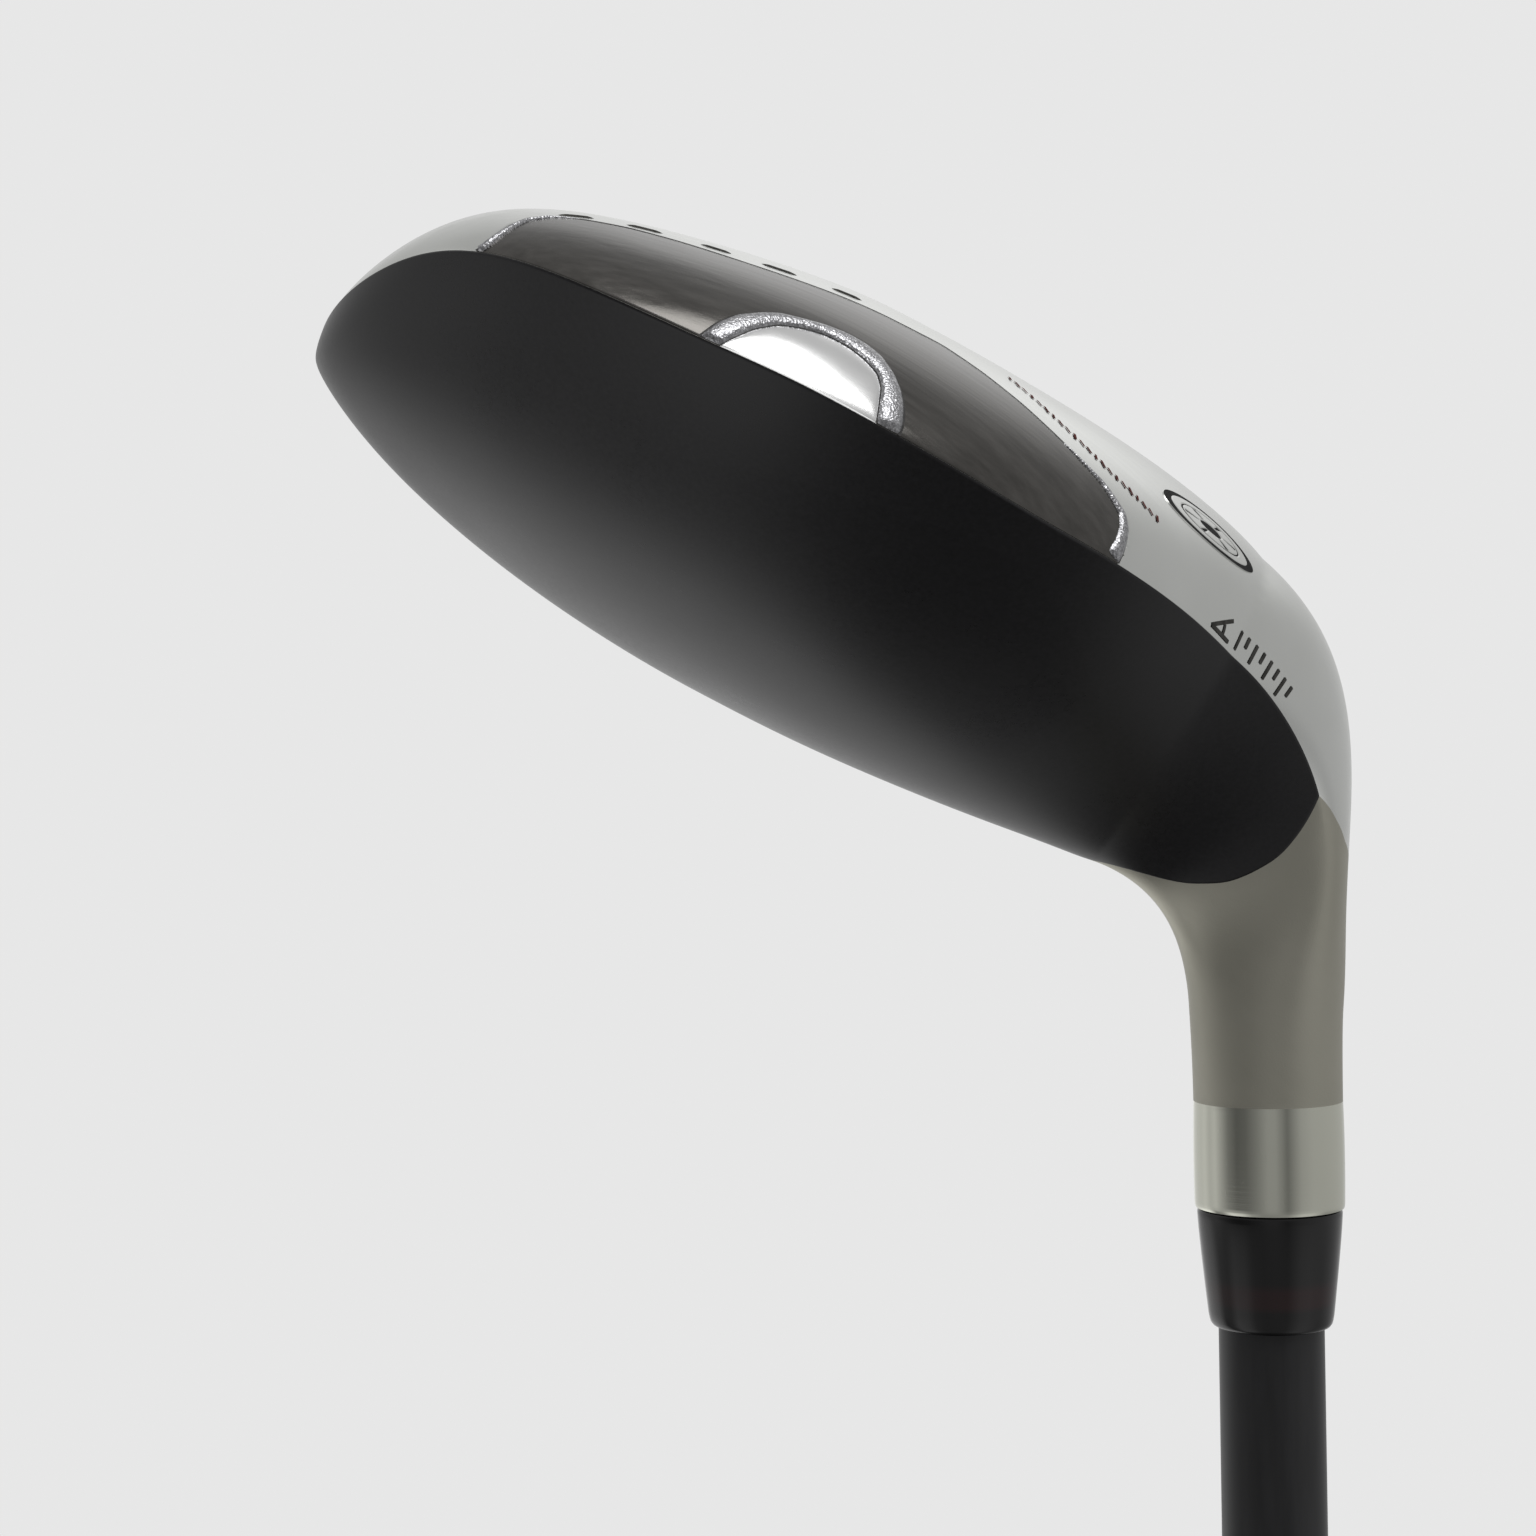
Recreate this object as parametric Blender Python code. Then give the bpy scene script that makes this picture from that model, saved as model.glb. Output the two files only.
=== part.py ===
"""Hybrid golf club, right-handed, loft 21 degrees: hollow steel head, carbon shaft and rubber grip, each piece its own object.

Frame: origin at the centre of the butt end, +Z along the shaft to the head, toe towards -X, target towards +Y. Lengths of the
head are worked out in mm from the hosel mouth and placed in metres.
"""

from math import cos, pi, radians, sin, tan

import bmesh
import bpy
import numpy as np

# ---- driving dimensions, mm unless said ----
CLUB_TO_HOSEL = 955.0          # butt end to the mouth of the hosel
LIE = radians(60.0)            # angle between shaft and ground
LOFT = radians(21.0)           # loft of the face
FAN_X, FAN_Z = -23.5, 18.6     # axis the neck bends about, from the hosel mouth
ARC = 23.5 * LIE               # length of the bend on the hosel axis
HOSEL_R = 6.62                 # outside of the hosel
S_MOUTH = -ARC - FAN_Z         # station of the hosel mouth
S_TOE = 80.7                   # station of the toe
S_CLOSE = 38.0                 # stations from here on close towards the toe
W_GROUND = 48.6                # ground plane, from the bend axis
Y_LEAD = 10.5                  # face plane meets the ground plane here
TOE_W, TOE_Y = 20.5, -7.0      # where the toe closes
FACE_END = 73.5                # the flat of the face ends here

CROWN_T = 1.0                  # crown shell
PANEL_T = 0.8                  # rear panel
PLATE_T = 2.2                  # face plate
WALL = 2.5                     # body wall
FACE_WALL = 1.4                # more wall behind the face plate's ledge
GAP = 0.25                     # bond line under each inlaid piece
SIDE = 0.2                     # gap round each inlaid piece

BORE_R, BORE_DEPTH = 4.85, 33.0
SHAFT_TIP_R, SHAFT_BUTT_R = 4.7, 7.6
SHAFT_TIP_IN_R, SHAFT_BUTT_IN_R = 2.9, 6.6
SHAFT_IN_HOSEL = 30.0
TAPER_FROM, TAPER_TO = 230.0, 820.0
FERRULE_LEN, FERRULE_R, FERRULE_END_R = 10.5, 6.45, 5.55
GRIP_LEN, GRIP_BUTT_R, GRIP_MOUTH_R = 267.0, 13.3, 8.4
CAP_T, VENT_R = 3.4, 1.6


def smooth_curve(stations, sigma=2.2):
    """Values through hand-set stations, joined by a monotone cubic and then averaged along the head so the skin stays fair."""
    x = np.array([p[0] for p in stations], float)
    y = np.array([p[1] for p in stations], float)
    h = np.diff(x)
    d = np.diff(y) / h
    m = np.zeros_like(y)
    m[0], m[-1] = d[0], d[-1]
    for i in range(1, len(x) - 1):
        if d[i - 1] * d[i] > 0:
            a, b = 2 * h[i] + h[i - 1], h[i] + 2 * h[i - 1]
            m[i] = (a + b) / (a / d[i - 1] + b / d[i])
    step = 0.1
    g = np.arange(x[0] - 12, x[-1] + 12, step)
    c = np.clip(g, x[0], x[-1])
    k = np.clip(np.searchsorted(x, c) - 1, 0, len(x) - 2)
    u = (c - x[k]) / h[k]
    v = (y[k] * (1 + 2 * u) * (1 - u) ** 2 + m[k] * h[k] * u * (1 - u) ** 2
         + y[k + 1] * u * u * (3 - 2 * u) + m[k + 1] * h[k] * u * u * (u - 1))
    v = v + (g - c) * np.where(g < x[0], m[0], m[-1])
    n = int(4 * sigma / step)
    kern = np.exp(-0.5 * (np.arange(-n, n + 1) * step / sigma) ** 2)
    kern /= kern.sum()
    pad = np.concatenate([v[0] + (v[1] - v[0]) * np.arange(-n, 0), v, v[-1] + (v[-1] - v[-2]) * np.arange(1, n + 1)])
    v = np.convolve(pad, kern, "valid")
    return lambda s: np.interp(s, g, v)


# depth w is measured from the bend axis, y towards the target
top_w = smooth_curve([(-44, 16.88), (-34, 16.88), (-28, 16.75), (-22, 16.45), (-15, 16.4), (-9, 16.0), (-5, 15.5), (0, 14.9), (5, 14.2), (10, 13.4), (15, 12.7), (20, 12.1), (25, 11.6), (31, 11.2), (38, 11.0), (46, 10.9), (60, 10.8), (81, 10.8)])
sole_w = smooth_curve([(-44, 30.12), (-34, 30.12), (-26, 30.2), (-20, 31.0), (-15, 33.3), (-11, 37.0), (-8, 40.3), (-5, 43.3), (-2, 45.0), (2, 46.2), (7, 46.9), (13, 47.3), (20, 47.5), (30, 47.5), (40, 47.2), (48, 46.7), (56, 46.4), (66, 46.2), (83, 46.0)], 2.0)
rim_w = smooth_curve([(-44, 23.5), (-30, 23.5), (-24, 24.2), (-18, 28.0), (-13, 31.2), (-9, 32.8), (-5, 33.8), (0, 34.7), (6, 35.1), (13, 34.9), (20, 34.4), (30, 34.1), (40, 33.8), (50, 33.5), (60, 33.6), (70, 33.8), (81, 34.0)])
rim_y = smooth_curve([(-44, -6.62), (-28, -6.62), (-20, -6.9), (-15, -7.6), (-11, -9.6), (-7, -13.0), (-3, -17.6), (2, -23.8), (7, -29.8), (13, -35.6), (20, -40.4), (28, -44.0), (38, -46.0), (48, -46.4), (60, -46.4), (81, -46.4)])
top_y = smooth_curve([(-44, 0.0), (-26, 0.0), (-15, -0.6), (-6, -2.2), (4, -4.6), (14, -6.2), (30, -7.2), (50, -7.2), (81, -7.0)])
sole_y = smooth_curve([(-44, 0.0), (-26, 0.0), (-15, 0.0), (-6, -1.0), (4, -4.0), (14, -7.5), (30, -9.5), (50, -9.5), (81, -9.0)])
crown_slope = smooth_curve([(-44, 90), (-26, 90), (-16, 84), (-8, 70), (0, 58), (10, 51), (24, 48), (50, 48), (66, 52), (81, 60)])
skirt_slope = smooth_curve([(-44, 90), (-26, 90), (-16, 88), (-8, 80), (0, 72), (12, 66), (28, 64), (50, 64), (66, 68), (81, 78)])
face_mix = smooth_curve([(-44, 0.0), (-24, 0.0), (-19, 0.04), (-12, 0.3), (-6, 0.68), (-1, 0.94), (2, 1.0), (81, 1.0)], 1.6)
low_face = smooth_curve([(-44, 23.5), (-26, 23.5), (-18, 25.5), (-12, 30.0), (-6, 36.2), (0, 40.6), (6, 42.8), (14, 44.0), (30, 45.2), (50, 44.8), (81, 44.0)])
high_face = smooth_curve([(-44, 23.5), (-26, 23.5), (-18, 22.6), (-10, 20.6), (-2, 18.6), (6, 16.9), (14, 15.5), (24, 14.2), (38, 13.4), (50, 13.3), (81, 13.4)])
crown_weight = smooth_curve([(-44, 0.7071), (-24, 0.7071), (-8, 0.75), (6, 0.85), (30, 0.95), (81, 0.9)])
skirt_weight = smooth_curve([(-44, 0.7071), (-24, 0.7071), (-8, 0.68), (6, 0.62), (30, 0.6), (81, 0.62)])
FACE_END = 73.5


def face_y(w, s, d):
    plane = Y_LEAD - (W_GROUND - w) * tan(LOFT) - d / cos(LOFT)
    b = face_mix(s)
    return (HOSEL_R - d) * (1 - b) + plane * b


def conic(p0, p1, p2, wt, t):
    a, b, c = (1 - t) ** 2, 2 * wt * t * (1 - t), t * t
    k = a + b + c
    return tuple((a * x0 + b * x1 + c * x2) / k for x0, x1, x2 in zip(p0, p1, p2))


def section(s, q, d=0.0, front=0.0):
    """Point (y, w) of the section at s. q: 0-1 crown, 1-2 skirt and sole, 2-3 sole front, 3-4 face, 4-5 top edge. d: inset."""
    s = np.asarray(s, float)
    q = np.mod(np.asarray(q, float), 5.0)
    end = S_TOE - d
    tau = np.clip((s - S_CLOSE) / (end - S_CLOSE), 0, 1)
    c = np.sqrt(1 - tau ** 2)
    ct, cs, cr = c * (1 - 0.2 * tau ** 2 - 0.25 * tau ** 8), c * (1 + 0.42 * tau ** 4 * (1 - tau ** 6)), c * (1 + 0.24 * np.sin(pi * tau ** 3))
    aw = TOE_W + (top_w(s) + d - TOE_W) * ct
    sw = TOE_W + (sole_w(s) - d - TOE_W) * cs
    rw = TOE_W + (rim_w(s) - TOE_W) * cr
    ry = TOE_Y + (rim_y(s) + d - TOE_Y) * c
    ay = TOE_Y + (top_y(s) - TOE_Y) * c
    sy = TOE_Y + (sole_y(s) - TOE_Y) * c
    lw = TOE_W + (low_face(s) - 0.6 * d - TOE_W) * cs * (1 - 0.25 * tau ** 8)
    hw = TOE_W + (high_face(s) + 0.6 * d - TOE_W) * ct * (1 - 0.25 * tau ** 8)
    lw = np.maximum(lw, hw)
    tf = np.clip((s - FACE_END) / (end - FACE_END), 0, 1)
    cf = np.sqrt(1 - tf ** 2)
    fy = lambda w: TOE_Y + (face_y(w, s, d + front) - TOE_Y) * cf
    cc, sc = radians(1) * crown_slope(s), radians(1) * skirt_slope(s)
    cy = np.clip(ry + (rw - aw) / np.tan(cc), ry, ay - 0.15 * (ay - ry))
    ky = np.clip(ry + (sw - rw) / np.tan(sc), ry, sy)
    t = q - np.floor(q)
    parts = [
        conic((ay, aw), (cy, aw), (ry, rw), crown_weight(s), t),
        conic((ry, rw), (ky, sw), (sy, sw), skirt_weight(s), t),
        conic((sy, sw), (fy(sw), sw), (fy(lw), lw), 0.7071, t),
        (fy(lw + (hw - lw) * t), lw + (hw - lw) * t),
        conic((fy(hw), hw), (fy(aw), aw), (ay, aw), 0.7071, t),
    ]
    k = np.floor(q).astype(int) + 0 * s.astype(int)
    y = np.choose(k, [p[0] + 0 * t for p in parts])
    w = np.choose(k, [p[1] + 0 * t for p in parts])
    return y, w


def skin(s, q, d=0.0, front=0.0):
    """Point in the head frame, mm: hosel axis is Z, hosel mouth at Z 0, toe towards -X, target +Y. d: inset from the outside, front: extra inset behind the face."""
    s = np.asarray(s, float)
    s = np.where(s > S_CLOSE, S_CLOSE + (s - S_CLOSE) * (S_TOE - d - S_CLOSE) / (S_TOE - S_CLOSE), s)
    y, w = section(s, q, d, front)
    phi = np.clip(s + ARC, 0, ARC) / ARC * LIE
    down = np.minimum(s + ARC, 0)
    along = np.maximum(s, 0)
    x = FAN_X + w * np.cos(phi) - along * np.sin(LIE)
    z = FAN_Z + w * np.sin(phi) + along * np.cos(LIE) + down
    return np.stack(np.broadcast_arrays(x, y, z), -1)


# ---- outlines of the inlaid pieces, as stations and section coordinates ----
CROWN_FRONT_Q = -0.45


def table(stations):
    x = [p[0] for p in stations]
    y = [p[1] for p in stations]
    return lambda v: np.interp(v, x, y)


CROWN_NECK = [(-0.5, 6.4), (-0.25, 5.2), (0.0, 1.6), (0.1, -1.6), (0.17, -4.4), (0.3, -8.5), (0.39, -10.4), (0.49, -11.7), (0.59, -12.6), (0.69, -12.8), (0.79, -12.7), (0.87, -12.1), (0.95, -11.2), (1.0, -10.5)]
PANEL_EDGE = [(13.1, 1.02), (13.5, 1.165), (14.3, 1.231), (15.7, 1.275), (17.0, 1.311), (21.1, 1.382), (25.3, 1.452), (29.3, 1.505), (33.1, 1.54), (37.9, 1.53), (44.4, 1.508), (49.6, 1.495), (55.1, 1.488), (59.2, 1.47), (62.9, 1.432), (65.0, 1.385), (66.3, 1.30), (66.9, 1.20), (67.3, 1.09), (67.5, 1.02)]
DOME_EDGE = [(33.6, 1.02), (34.2, 1.10), (35.2, 1.19), (36.3, 1.235), (37.7, 1.262), (39.5, 1.272), (41.5, 1.268), (43.0, 1.25), (44.6, 1.222), (46.0, 1.165), (46.9, 1.10), (47.8, 1.02)]
MEDAL_S, MEDAL_Q, MEDAL_R = 6.4, 1.62, 5.8


def metric(s, q):
    """mm of skin per unit of section coordinate q."""
    return float(np.linalg.norm(skin(s, q + 0.01) - skin(s, q - 0.01)) / 0.02)


def place(p):
    p = np.asarray(p, float)
    return np.stack([p[..., 0], p[..., 1], p[..., 2] + CLUB_TO_HOSEL], -1) / 1000


def new_object(name, verts, faces, colour=(0.5, 0.5, 0.5), rough=0.5, metal=0.0, helper=False, flat=False):
    bm = bmesh.new()
    vs = [bm.verts.new(tuple(v)) for v in np.asarray(verts).reshape(-1, 3)]
    for f in faces:
        if len(set(f)) > 2:
            bm.faces.new([vs[i] for i in f])
    bmesh.ops.remove_doubles(bm, verts=bm.verts, dist=3e-6)
    bmesh.ops.dissolve_degenerate(bm, edges=bm.edges, dist=1e-6)
    bmesh.ops.recalc_face_normals(bm, faces=bm.faces)
    mesh = bpy.data.meshes.new(name)
    bm.to_mesh(mesh)
    bm.free()
    if not flat:
        mesh.polygons.foreach_set("use_smooth", [True] * len(mesh.polygons))
        mesh.set_sharp_from_angle(angle=radians(32))
    obj = bpy.data.objects.new(name, mesh)
    bpy.context.scene.collection.objects.link(obj)
    if helper:
        obj.hide_render = True
        obj.display_type = "WIRE"
    else:
        mat = bpy.data.materials.new(name + "_finish")
        mat.use_nodes = True
        node = mat.node_tree.nodes["Principled BSDF"]
        node.inputs["Base Color"].default_value = (*colour, 1)
        node.inputs["Roughness"].default_value = rough
        node.inputs["Metallic"].default_value = metal
        mesh.materials.append(mat)
    return obj


def sheet_solid(name, outer, inner, **look):
    """Closed solid between two grids of points of the same shape."""
    n, m = outer.shape[:2]
    verts = np.concatenate([outer.reshape(-1, 3), inner.reshape(-1, 3)])
    o = lambda i, j: i * m + j
    u = lambda i, j: n * m + i * m + j
    faces = []
    for i in range(n - 1):
        for j in range(m - 1):
            faces.append((o(i, j), o(i + 1, j), o(i + 1, j + 1), o(i, j + 1)))
            faces.append((u(i, j), u(i, j + 1), u(i + 1, j + 1), u(i + 1, j)))
    for i in range(n - 1):
        faces.append((o(i, 0), u(i, 0), u(i + 1, 0), o(i + 1, 0)))
        faces.append((o(i, m - 1), o(i + 1, m - 1), u(i + 1, m - 1), u(i, m - 1)))
    for j in range(m - 1):
        faces.append((o(0, j), o(0, j + 1), u(0, j + 1), u(0, j)))
        faces.append((o(n - 1, j), u(n - 1, j), u(n - 1, j + 1), o(n - 1, j + 1)))
    return new_object(name, place(verts), faces, **look)


def loop_solid(name, rings, first=None, last=None, **look):
    """Closed solid through rings of points; first and last are the points that close its ends."""
    n, m = len(rings), len(rings[0])
    verts = list(np.concatenate(rings))
    faces = [(i * m + j, i * m + (j + 1) % m, (i + 1) * m + (j + 1) % m, (i + 1) * m + j) for i in range(n - 1) for j in range(m)]
    for end, row in ((first, 0), (last, n - 1)):
        if end is None:
            faces.append(tuple(row * m + j for j in range(m)))
        else:
            verts.append(np.asarray(end, float))
            faces += [(row * m + j, row * m + (j + 1) % m, len(verts) - 1) for j in range(m)]
    return new_object(name, place(np.array(verts)), faces, **look)


def turned(name, profile, count=40, z_shift=0.0, **look):
    """Closed solid of revolution about the shaft axis from a closed list of (radius, z)."""
    a = np.arange(count) * 2 * pi / count
    rings = [np.stack([r * np.cos(a), r * np.sin(a), 0 * a + z + z_shift], -1) for r, z in profile]
    verts = np.concatenate(rings)
    n = len(rings)
    faces = [(i * count + j, i * count + (j + 1) % count, ((i + 1) % n) * count + (j + 1) % count, ((i + 1) % n) * count + j) for i in range(n) for j in range(count)]
    return new_object(name, place(verts), faces, **look)


def cut(body, tool, how="DIFFERENCE"):
    mod = body.modifiers.new(tool.name, "BOOLEAN")
    mod.operation = how
    mod.solver = "EXACT"
    mod.object = tool


def spread(a, b, n, bias=0.0):
    """n values from a to b, crowding both ends when bias is 1."""
    t = np.linspace(0, 1, n)
    t = (1 - bias) * t + bias * 0.5 * (1 - np.cos(pi * t))
    return a + (b - a) * t


RIM_LIP = 0.6                  # mm of body left between crown and rear panel
rim_speed = table([(float(v), metric(v, 0.975)) for v in np.linspace(-14, 80, 48)])


def crown_grid(d, grow, n=26, m=15):
    """Grid over the crown; grow is mm added all round, or taken off when it is negative."""
    q0 = CROWN_FRONT_Q - grow / 5.0
    columns = spread(0, 1, m, 0.35)
    if grow < 0:
        end = S_TOE - 2.0 + 0.55 * grow
    else:
        end = S_CLOSE + (S_TOE - S_CLOSE) * np.sqrt(1 - (0.12 - 0.02 * grow) ** 2)
    neck = table(CROWN_NECK)
    stretch = 0.62 * (S_TOE - S_CLOSE)
    rows = []
    for t in np.linspace(0, 1, n):
        row = []
        for c in columns:
            start = float(neck(CROWN_FRONT_Q + (1 - CROWN_FRONT_Q) * c)) - grow
            run = t * (S_CLOSE - start + stretch * np.arcsin((end - S_CLOSE) / (S_TOE - S_CLOSE)))
            s = start + run
            if s > S_CLOSE:
                s = S_CLOSE + (S_TOE - S_CLOSE) * sin(min((s - S_CLOSE) / stretch, pi / 2))
            q1 = 1 - (RIM_LIP - grow) / float(rim_speed(s))
            row.append(skin(s, q0 + (q1 - q0) * c, d))
        rows.append(row)
    return np.array(rows)


def edge_grid(edge, d, grow, n, m=6, low=None):
    """Grid over a patch that stands on the rim and is bounded above by the curve edge."""
    s0, s1 = edge[0][0] - grow, edge[-1][0] + grow
    mid = 0.5 * (s0 + s1)
    scale = (s1 - s0) / (edge[-1][0] - edge[0][0])
    upper = table(edge)
    base = edge[0][1] if low is None else low
    q_low = base - grow / 17.0
    rows = []
    for s in spread(s0, s1, n, 0.75):
        q_high = max(float(upper(mid + (s - mid) / scale)), base) + grow / 34.0
        rows.append([skin(s, q_low + (q_high - q_low) * t, d) for t in np.linspace(0, 1, m)])
    return np.array(rows)


def disc_rings(s0, q0, radius, d, count=28, rings=(1.0,)):
    per_q = metric(s0, q0)
    a = np.arange(count) * 2 * pi / count
    return [skin(s0 + k * radius * np.cos(a), q0 + k * radius * np.sin(a) / per_q, d) for k in rings]


def face_outline(grow, n=22):
    """Closed outline of the face plate as stations and depths."""
    a, b = 4.5 - grow, 72.0 + grow
    s = spread(a, b, n, 0.8)
    t = (s - a) / (b - a)
    lo, hi = low_face(s) - 0.9 + grow, high_face(s) + 0.9 - grow
    tau = np.clip((s - S_CLOSE) / (S_TOE - S_CLOSE), 0, 1)
    c = np.sqrt(1 - tau ** 2)
    lo = TOE_W + (lo - TOE_W) * c * (1 + 0.42 * tau ** 4 * (1 - tau ** 6)) * (1 - 0.25 * tau ** 8)
    hi = TOE_W + (hi - TOE_W) * c * (1 - 0.2 * tau ** 2 - 0.25 * tau ** 8) * (1 - 0.25 * tau ** 8)
    mid, half = 0.5 * (lo + hi), 0.5 * (lo - hi)
    soft = np.minimum(1.0, np.minimum(np.sqrt(np.clip(1 - (1 - np.clip(t / 0.09, 0, 1)) ** 2, 0, 1)) * 0.45 + 0.55, np.sqrt(np.clip(1 - (1 - np.clip((1 - t) / 0.05, 0, 1)) ** 2, 0, 1)) * 0.45 + 0.55))
    lo, hi = mid + half * soft, mid - half * soft
    return np.concatenate([s, s[::-1]]), np.concatenate([lo, hi[::-1]])


def face_point(s, w, out):
    """Point on the face plane, out mm in front of it."""
    y = Y_LEAD - (W_GROUND - w) * tan(LOFT)
    x = FAN_X + w * cos(LIE) - s * sin(LIE)
    z = FAN_Z + w * sin(LIE) + s * cos(LIE)
    ny, nw = cos(LOFT), -sin(LOFT)
    return np.stack([x + out * nw * cos(LIE), y + out * ny + 0 * x, z + out * nw * sin(LIE)], -1)


def face_solid(name, grow, out0, out1, **look):
    s, w = face_outline(grow)
    return loop_solid(name, [face_point(s, w, out0), face_point(s, w, out1)], **look)


for old in list(bpy.data.objects):
    bpy.data.objects.remove(old, do_unlink=True)

# ---- head body: the whole outside first, then everything cut from it ----
stations = list(np.linspace(S_MOUTH, S_MOUTH + 12, 3)) + list(np.linspace(S_MOUTH + 18, S_CLOSE, 25))
stations += [S_CLOSE + (S_TOE - S_CLOSE) * sin(a) for a in np.linspace(0, pi / 2, 15)[1:-1]]
qs = np.concatenate([np.linspace(0, 1, 13)[:-1], 1 + np.linspace(0, 1, 13)[:-1] ** 1.25, np.linspace(2, 3, 7)[:-1], [3, 3.35, 3.7], np.linspace(4, 5, 5)[:-1]])
body = loop_solid("head_body", [skin(s, qs) for s in stations], (0, 0, 0), skin(S_TOE, 0.0), colour=(0.55, 0.55, 0.53), rough=0.3, metal=1.0)

inner_stations = list(np.linspace(3.0, S_CLOSE, 12)) + [S_CLOSE + (S_TOE - S_CLOSE) * sin(a) for a in np.linspace(0, pi / 2, 10)[1:-1]]
inner_qs = np.concatenate([np.linspace(0, 1, 9)[:-1], np.linspace(1, 2, 9)[:-1], np.linspace(2, 3, 5)[:-1], [3, 3.5], np.linspace(4, 5, 4)[:-1]])
cavity = loop_solid("tool_cavity", [skin(s, inner_qs, WALL, FACE_WALL) for s in inner_stations], None, skin(S_TOE, 0.0, WALL, FACE_WALL), helper=True)
boss = sheet_solid("tool_boss", edge_grid(DOME_EDGE, WALL - 1.2, 2.0, 13), edge_grid(DOME_EDGE, 7.6, 2.0, 13), helper=True)
cut(cavity, boss)
cut(body, cavity)

recess = sheet_solid("tool_crown_recess", crown_grid(-2.2, SIDE), crown_grid(CROWN_T + GAP, SIDE), helper=True)
cut(body, recess)
window = sheet_solid("tool_crown_window", crown_grid(0.6, -3.4, 16, 9), crown_grid(3.6, -3.4, 16, 9), helper=True)
cut(body, window)
cut(body, sheet_solid("tool_panel_recess", edge_grid(PANEL_EDGE, -1.5, SIDE, 29), edge_grid(PANEL_EDGE, PANEL_T + GAP, SIDE, 29), helper=True))
cut(body, sheet_solid("tool_weight_pocket", edge_grid(DOME_EDGE, -1.5, SIDE, 15, low=1.04), edge_grid(DOME_EDGE, 5.6, SIDE, 15, low=1.04), helper=True))
medal_cut = loop_solid("tool_medal", disc_rings(MEDAL_S, MEDAL_Q, MEDAL_R + SIDE, -1.0) + disc_rings(MEDAL_S, MEDAL_Q, MEDAL_R + SIDE, 0.9), helper=True)
cut(body, medal_cut)
cut(body, face_solid("tool_face_recess", SIDE, 3.0, -PLATE_T - GAP, helper=True))
cut(body, face_solid("tool_face_window", -3.0, 1.0, -6.5, helper=True))
a = np.arange(40) * 2 * pi / 40
bore = loop_solid("tool_bore", [np.stack([BORE_R * np.cos(a), BORE_R * np.sin(a), 0 * a + z], -1) for z in (-2.0, BORE_DEPTH)], helper=True)
cut(body, bore)

# ---- pieces set into the head ----
sheet_solid("crown_shell", crown_grid(0.0, 0.0), crown_grid(CROWN_T, 0.0), colour=(0.035, 0.035, 0.04), rough=0.4, metal=0.3)
panel = sheet_solid("rear_panel", edge_grid(PANEL_EDGE, 0.0, 0.0, 29), edge_grid(PANEL_EDGE, PANEL_T, 0.0, 29), colour=(0.16, 0.15, 0.14), rough=0.28, metal=1.0)
cut(panel, sheet_solid("tool_panel_weight", edge_grid(DOME_EDGE, -1.5, SIDE, 15, low=1.0), edge_grid(DOME_EDGE, 5.6, SIDE, 15, low=1.0), helper=True))
dome_out = edge_grid(DOME_EDGE, 0.0, 0.0, 15, low=1.04)
swell = np.zeros(dome_out.shape[:2])
for i in range(15):
    for j in range(6):
        swell[i, j] = sin(pi * i / 14) * (1 - (j / 5) ** 2) ** 0.5 if j < 5 else 0
dome_back = edge_grid(DOME_EDGE, 1.0, 0.0, 15, low=1.04)
dome_out = dome_out + (dome_out - dome_back) * (0.7 * swell)[..., None]
sheet_solid("back_weight", dome_out, edge_grid(DOME_EDGE, 5.3, 0.0, 15, low=1.04), colour=(0.85, 0.85, 0.85), rough=0.06, metal=1.0)
loop_solid("sole_medallion", disc_rings(MEDAL_S, MEDAL_Q, MEDAL_R, 0.05) + disc_rings(MEDAL_S, MEDAL_Q, MEDAL_R, 0.65), skin(MEDAL_S, MEDAL_Q, 0.05), skin(MEDAL_S, MEDAL_Q, 0.65), colour=(0.05, 0.05, 0.05), rough=0.35, metal=0.6)
plate = face_solid("face_plate", 0.0, 0.0, -PLATE_T, colour=(0.5, 0.5, 0.49), rough=0.4, metal=1.0)

grooves_v, grooves_f = [], []
for k in range(7):
    w_mid = 41.0 - 3.6 * k
    for s0, s1 in ((19.0, 57.0),):
        base = len(grooves_v)
        for out in (0.6, -0.3):
            for s, w in ((s0, w_mid - 0.35), (s1, w_mid - 0.35), (s1, w_mid + 0.35), (s0, w_mid + 0.35)):
                grooves_v.append(face_point(s, w, out))
        grooves_f += [(base, base + 1, base + 2, base + 3), (base + 7, base + 6, base + 5, base + 4)]
        grooves_f += [(base + i, base + 4 + i, base + 4 + (i + 1) % 4, base + (i + 1) % 4) for i in range(4)]
grooves = new_object("tool_grooves", place(np.array(grooves_v)), grooves_f, helper=True, flat=True)
cut(plate, grooves)

# ---- shaft, ferrule and tip weight ----
butt, tip = 5.0, CLUB_TO_HOSEL + SHAFT_IN_HOSEL


def shaft_r(z):
    t = min(max((z - TAPER_FROM) / (TAPER_TO - TAPER_FROM), 0.0), 1.0)
    start = SHAFT_BUTT_R - 0.35 * min(z, TAPER_FROM) / TAPER_FROM
    return start + (SHAFT_TIP_R - start) * t


def shaft_in_r(z):
    t = min(max((z - TAPER_FROM) / (TAPER_TO - TAPER_FROM), 0.0), 1.0)
    return SHAFT_BUTT_IN_R + (SHAFT_TIP_IN_R - SHAFT_BUTT_IN_R) * t


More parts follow.
